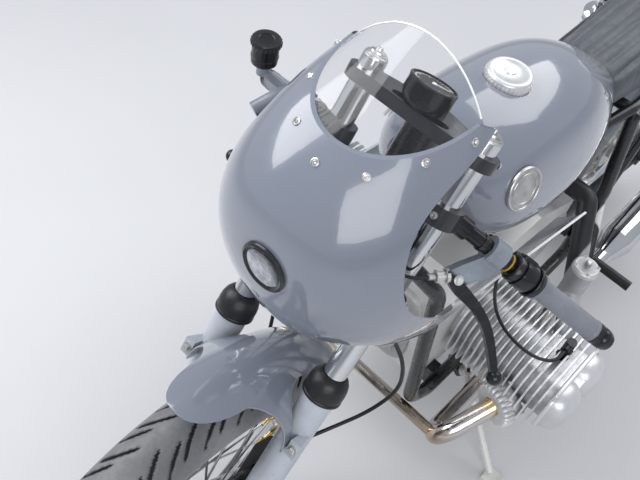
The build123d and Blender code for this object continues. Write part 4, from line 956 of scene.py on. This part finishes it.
engine_trim = Shape()
carb_trim = Shape()
for side in SIDES:
    for x in (-77, 77):
        for z in (-50.4, 50.4):
            engine_trim.hex_bolt(cylinder_point(side, x, 338, z), LEFT * side, 6, 7)
    target = Vector((AIR_BOX_PORT[0], side * AIR_BOX_PORT[1], AIR_BOX_PORT[2]))
    start = cylinder_point(side, -104, 250, 60)
    body = start + (target - start).normalized() * 45
    carb_trim.lathe(body + UP * 58.3, UP, [
        (24, 0), (26, 1), (26, 9), (23, 12), (10, 13.5), (6, 15), (6, 24), (4, 26), (0, 26),
    ], 36)
    carb_trim.lathe(body - UP * 36.3, -UP, [
        (24, 0), (28, 1), (28, 4), (25, 5), (25, 20), (18, 26), (8, 28), (8, 33), (0, 33),
    ], 36)
    for angle in (0.6, 2.2, 3.8, 5.4):
        carb_trim.dome_bolt(body + Vector((22 * cos(angle), 22 * sin(angle), 70)), UP, 3, 3)
engine_trim.make("engine_nuts", "chassis", STEEL)
carb_trim.make("carburettor_tops", "chassis", CAST)


# Rocker covers: two egg-shaped domes on a flange, with ribs and sunk screws in the valley
COVER_FOOT = 334.4
DOME_RISE = 36.2
covers = Shape()
cover_holes = Shape()
bends = [pi / 2 * k / 14.2 for k in range(1, 15)]
dome_sizes = [(47.5, 52.5, 5), (47.0, 52.0, 9)]
dome_sizes += [(47.0 * cos(bend) ** 0.62, 52.0 * cos(bend) ** 0.62, 9 + DOME_RISE * sin(bend))
               for bend in bends]
for side in SIDES:
    out = LEFT * side
    covers.raised(cylinder_point(side, 0, COVER_FOOT, 0), AHEAD, UP, out,
                  [(95, 55, 0), (96, 56, 1), (96, 56, 7), (94.5, 54.5, 8.6), (80, 46, 9)], 4.2, foot=True)
    for x in (-46, 46):
        covers.raised(cylinder_point(side, x, COVER_FOOT, 0), AHEAD, UP, out, dome_sizes, 2.5, foot=True)
    for z in (-33, -19, 0, 19, 33):
        covers.raised(cylinder_point(side, 0, COVER_FOOT, z), AHEAD, UP, out,
                      [(20, 2.6, 5), (19, 2.4, 24), (17, 1.8, 27), (12, 0.8, 28)], 5, 24)
    for z in (-26, 9.5, 26):
        cover_holes.lathe(cylinder_point(side, 0, COVER_FOOT + 8, z), out,
                          [(4.6, 0), (4.6, 4), (3.4, 4.6), (2.6, 2.4), (0, 2.4)], 20)
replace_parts(covers.make("rocker_domes", "chassis", BLASTED, smooth=60), "rocker_covers")
cover_holes.make("rocker_screws", "chassis", CRINKLE)

# Exhaust nuts: a sleeve in the port and a many-lobed ring standing in front of the fins, turned to the front
PIPE_ELBOW = (1000, 218, 258)
LOBES = 24
NUT_RING = ((0.44, 34), (0.86, 34), (0.96, 35.5), (1.0, 39), (1.0, 54), (0.97, 57.6), (0.9, 59.6), (0.7, 60.6),
            (0.5, 58.6), (0.44, 58.6), (0.44, 34))
nuts = Shape()
for side in SIDES:
    port = cylinder_point(side, 60, 276, -43)
    line = (Vector((PIPE_ELBOW[0], side * PIPE_ELBOW[1], PIPE_ELBOW[2])) - port).normalized()
    nuts.lathe(port, line, [(19.4, 2), (38, 2), (39, 4), (39, 36), (19.4, 36), (19.4, 2)], 48)
    tilted = (line + Vector((0.12, 0, 0.34))).normalized()
    centre = port + line * 40 - tilted * 46
    edge = tilted.orthogonal().normalized()
    other = tilted.cross(edge)
    rings = []
    for scale, height in NUT_RING:
        ring = []
        for angle in turns(12 * LOBES):
            lobe = 39.4 + 6.6 * abs(sin(LOBES / 2 * angle)) ** 0.55 if scale > 0.8 else 44
            ring.append(centre + tilted * height + (edge * cos(angle) + other * sin(angle)) * (scale * lobe))
        rings.append(ring)
    nuts.grid(rings)
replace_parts(nuts.make("star_nuts", "chassis", BLASTED, smooth=50), "exhaust_nuts")

# Finned unit on an arm of the fairing's bracket
UNIT = Vector((1193, -79, 978))
unit = Shape()
unit.raised(UNIT, LEFT, UP, AHEAD, [(32, 28, -16), (34, 30, -14), (34, 30, 3), (32, 28, 5)], 6, 40, foot=True)
for index in range(10):
    unit.raised(UNIT + LEFT * (-30 + 6.7 * index), LEFT, UP, AHEAD,
                [(1.4, 31, -15), (1.4, 31, 12), (0.6, 29.5, 13.6)], 8, 20)
unit.tube([(1222, 0, 899), (1214, -24, 914), (1204, -52, 932), UNIT - UP * 26], 4.5)
unit.make("finned_unit", "chassis", BLACK)

# Crankcase: screwed side covers with ribs, a ribbed front cover and fins under the sump
case_trim = Shape()
case_screws = Shape()
for side in SIDES:
    out = LEFT * side
    at = Vector((546, side * 104, 388))
    case_trim.raised(at, AHEAD, UP, out, [(94, 64, 0), (94, 64, 5), (91, 61, 7.6), (70, 44, 8.4)], 4, 56)
    for z in (-34, -17, 0, 17, 34):
        case_trim.raised(at + UP * z, AHEAD, UP, out, [(58, 3, 6), (57, 2.4, 10.4), (55, 1.2, 11.4)], 6, 24)
    for angle in turns(8, 0.5):
        place = at + AHEAD * (82 * cos(angle)) + UP * (52 * sin(angle)) + out * 6.5
        case_screws.socket_bolt(place, out, 4.4, 4)
front = Vector((936, 0, 395))
case_trim.raised(front, LEFT, UP, AHEAD, [(70, 104, -8), (70, 104, 8), (67, 101, 11), (40, 70, 12)], 5, 56)
for index in range(7):
    case_trim.raised(front + LEFT * (-42 + 14 * index), LEFT, UP, AHEAD,
                     [(2.6, 76, 8), (2.0, 75, 15), (1.0, 73, 16)], 6, 24)
for index in range(9):
    case_trim.raised(Vector((790, -80 + 20 * index, 222)), AHEAD, LEFT, -UP,
                     [(86, 2.2, -3), (86, 1.8, 9), (84, 0.8, 10)], 8, 24)
case_trim.make("case_covers", "chassis", CAST, smooth=50)
case_screws.make("case_screws", "chassis", STEEL)

# Shocks: coil springs between their seats
SHOCK_HIGH, SHOCK_LOW = Vector((120, 0, 712)), Vector((-6, 0, 350))
SHOCK_HALF = 140
COILS = 9
springs = Shape()
shock_length = (SHOCK_HIGH - SHOCK_LOW).length
shock_axis = (SHOCK_HIGH - SHOCK_LOW).normalized()
shock_across = shock_axis.cross(LEFT)
for side in SIDES:
    low = SHOCK_LOW + LEFT * side * SHOCK_HALF
    path = []
    for k in range(COILS * 20 + 1):
        angle = 2 * pi * k / 20
        height = 62 + (shock_length - 130) * k / (COILS * 20)
        path.append(low + shock_axis * height + (LEFT * cos(angle) + shock_across * sin(angle)) * 25)
    springs.tube(path, 4.2)
    springs.lathe(low, shock_axis, [(12, 48), (30, 50), (30, 57), (26, 58), (12, 58)], 32)
    springs.lathe(low + shock_axis * shock_length, shock_axis,
                  [(12, -64), (30, -62), (30, -52), (24, -48), (12, -46)], 32)
springs.make("shock_springs", "chassis", CHROME)


# Seat: padded cover with lengthwise rolls. Sections: x, half width, bottom, shoulder and top height
SEAT_SECTIONS = ((489.7, 76, 723.6, 752, 800), (200, 104, 729.6, 765, 808), (20, 102, 748.6, 785, 832))
SEAT_INSET = 5.0
SKIN_LIMIT = 0.004
ROLL_PITCH = 27.0
SEAM_WIDTH = 3.2


def seat_section(x, half_width, bottom, shoulder, top_height, inset):
    half = half_width - inset
    bends = [pi * k / 24 for k in range(25)]
    ring = [(half * cos(bend), shoulder + (top_height - inset - shoulder) * sin(bend)) for bend in bends]
    ring += [(-half, shoulder + (bottom - shoulder) * k / 5) for k in range(1, 5)]
    ring += [(-half + 2 * half * k / 20, bottom + 0.4) for k in range(21)]
    ring += [(half, bottom + (shoulder - bottom) * k / 5) for k in range(1, 5)]
    return [Vector((x, y, z)) for y, z in ring]


def seat_row(x):
    """Sizes of the seat at a place, on a curve through its three sections."""
    (x0, *front), (x1, *middle), (x2, *rear) = SEAT_SECTIONS
    t = (x - x0) / (x2 - x0)
    u = (x1 - x0) / (x2 - x0)
    return [p * (t - u) * (t - 1) / u + q * t * (t - 1) / (u * (u - 1)) + r * t * (t - u) / (1 - u)
            for p, q, r in zip(front, middle, rear)]


def between(low, value, high):
    return max(low, min(high, value))


cushion = Shape()
rows = []
for x in [487 - 8 * k for k in range(59)]:
    near_end = min(1.0, min(488 - x, x - 21) / 26 + 0.15)
    rows.append(seat_section(x, *seat_row(x), SEAT_INSET + 12 * (1 - near_end) ** 2))
cushion.block(rows)
pad = cushion.make("seat_pad", "chassis", LEATHER, smooth=180)
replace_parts(pad, "seat")

bpy.context.view_layer.objects.active = pad
pad.select_set(True)
remesh = pad.modifiers.new("remesh", "REMESH")
remesh.mode = "VOXEL"
remesh.voxel_size = 0.006
bpy.ops.object.modifier_apply(modifier="remesh")
rest_shape = [v.co.copy() for v in pad.data.vertices]
cloth = pad.modifiers.new("cloth", "CLOTH")
cloth.settings.use_pressure = True
cloth.settings.uniform_pressure_force = 4
cloth.settings.effector_weights.gravity = 0
for step in range(1, 17):
    scene.frame_set(step)
bpy.ops.object.modifier_apply(modifier="cloth")
scene.frame_set(1)
for vertex, start_co in zip(pad.data.vertices, rest_shape):
    moved = vertex.co - start_co
    if moved.length > SKIN_LIMIT:
        vertex.co = start_co + moved * (SKIN_LIMIT / moved.length)
# rolls between sewn lines, and a flat base where the seat meets its pan
pad.data.update()
places = []
for vertex in pad.data.vertices:
    here = UNPARK @ vertex.co
    normal = (UNPARK.to_3x3() @ vertex.normal).normalized()
    top_side = between(0.0, (normal.z - 0.25) / 0.35, 1.0)
    ends_fade = between(0.0, min((474 - here.x) / 22, (here.x - 34) / 22), 1.0)
    distance = abs((here.y + ROLL_PITCH / 2) % ROLL_PITCH - ROLL_PITCH / 2)
    roll = 1.6 * sin(pi * distance / ROLL_PITCH) - 5.5 * exp(-(distance / SEAM_WIDTH) ** 2)
    place = here + normal * (roll * top_side * ends_fade)
    bottom = seat_row(between(20, place.x, 489.7))[1]
    places.append(Vector((between(20.6, place.x, 489.0), place.y, max(place.z, bottom + 0.4))))
for vertex, place in zip(pad.data.vertices, places):
    vertex.co = parked(place)
pad.data.polygons.foreach_set("use_smooth", [True] * len(pad.data.polygons))
finer = pad.modifiers.new("subdivision", "SUBSURF")
finer.levels = finer.render_levels = 1

# Floor and light
FLOOR = 14
floor_mesh = bpy.data.meshes.new("floor")
floor_mesh.from_pydata([(-FLOOR, -FLOOR, 0), (FLOOR, -FLOOR, 0), (FLOOR, FLOOR, 0), (-FLOOR, FLOOR, 0)], [],
                       [(0, 1, 2, 3)])
floor = bpy.data.objects.new("floor", floor_mesh)
scene.collection.objects.link(floor)
floor.data.materials.append(finish("floor_paint", (0.60, 0.605, 0.62), (0.57, 0.575, 0.59), (0.6, 0.75), patch=0.6,
                                   grain=40.0, depth=0.0005))

world = bpy.data.worlds.new("studio")
scene.world = world
world.use_nodes = True
sky = world.node_tree.nodes["Background"]
sky.inputs["Color"].default_value = (0.88, 0.92, 1.0, 1)
sky.inputs["Strength"].default_value = 0.55


def softbox(name, at, target, size, power):
    data = bpy.data.lights.new(name, "AREA")
    data.shape = "RECTANGLE"
    data.size, data.size_y = size
    data.energy = power
    lamp_object = bpy.data.objects.new(name, data)
    scene.collection.objects.link(lamp_object)
    lamp_object.location = at
    lamp_object.rotation_euler = (Vector(target) - Vector(at)).to_track_quat("-Z", "Y").to_euler()


softbox("key", (1.2, -2.2, 3.4), (0.2, 0, 0.7), (2.6, 3.4), 115)
softbox("fill", (2.6, 2.6, 2.4), (0.2, 0, 0.6), (3.0, 2.2), 66)
softbox("back", (-2.4, 0.6, 3.0), (0, 0, 0.7), (2.8, 2.8), 58)
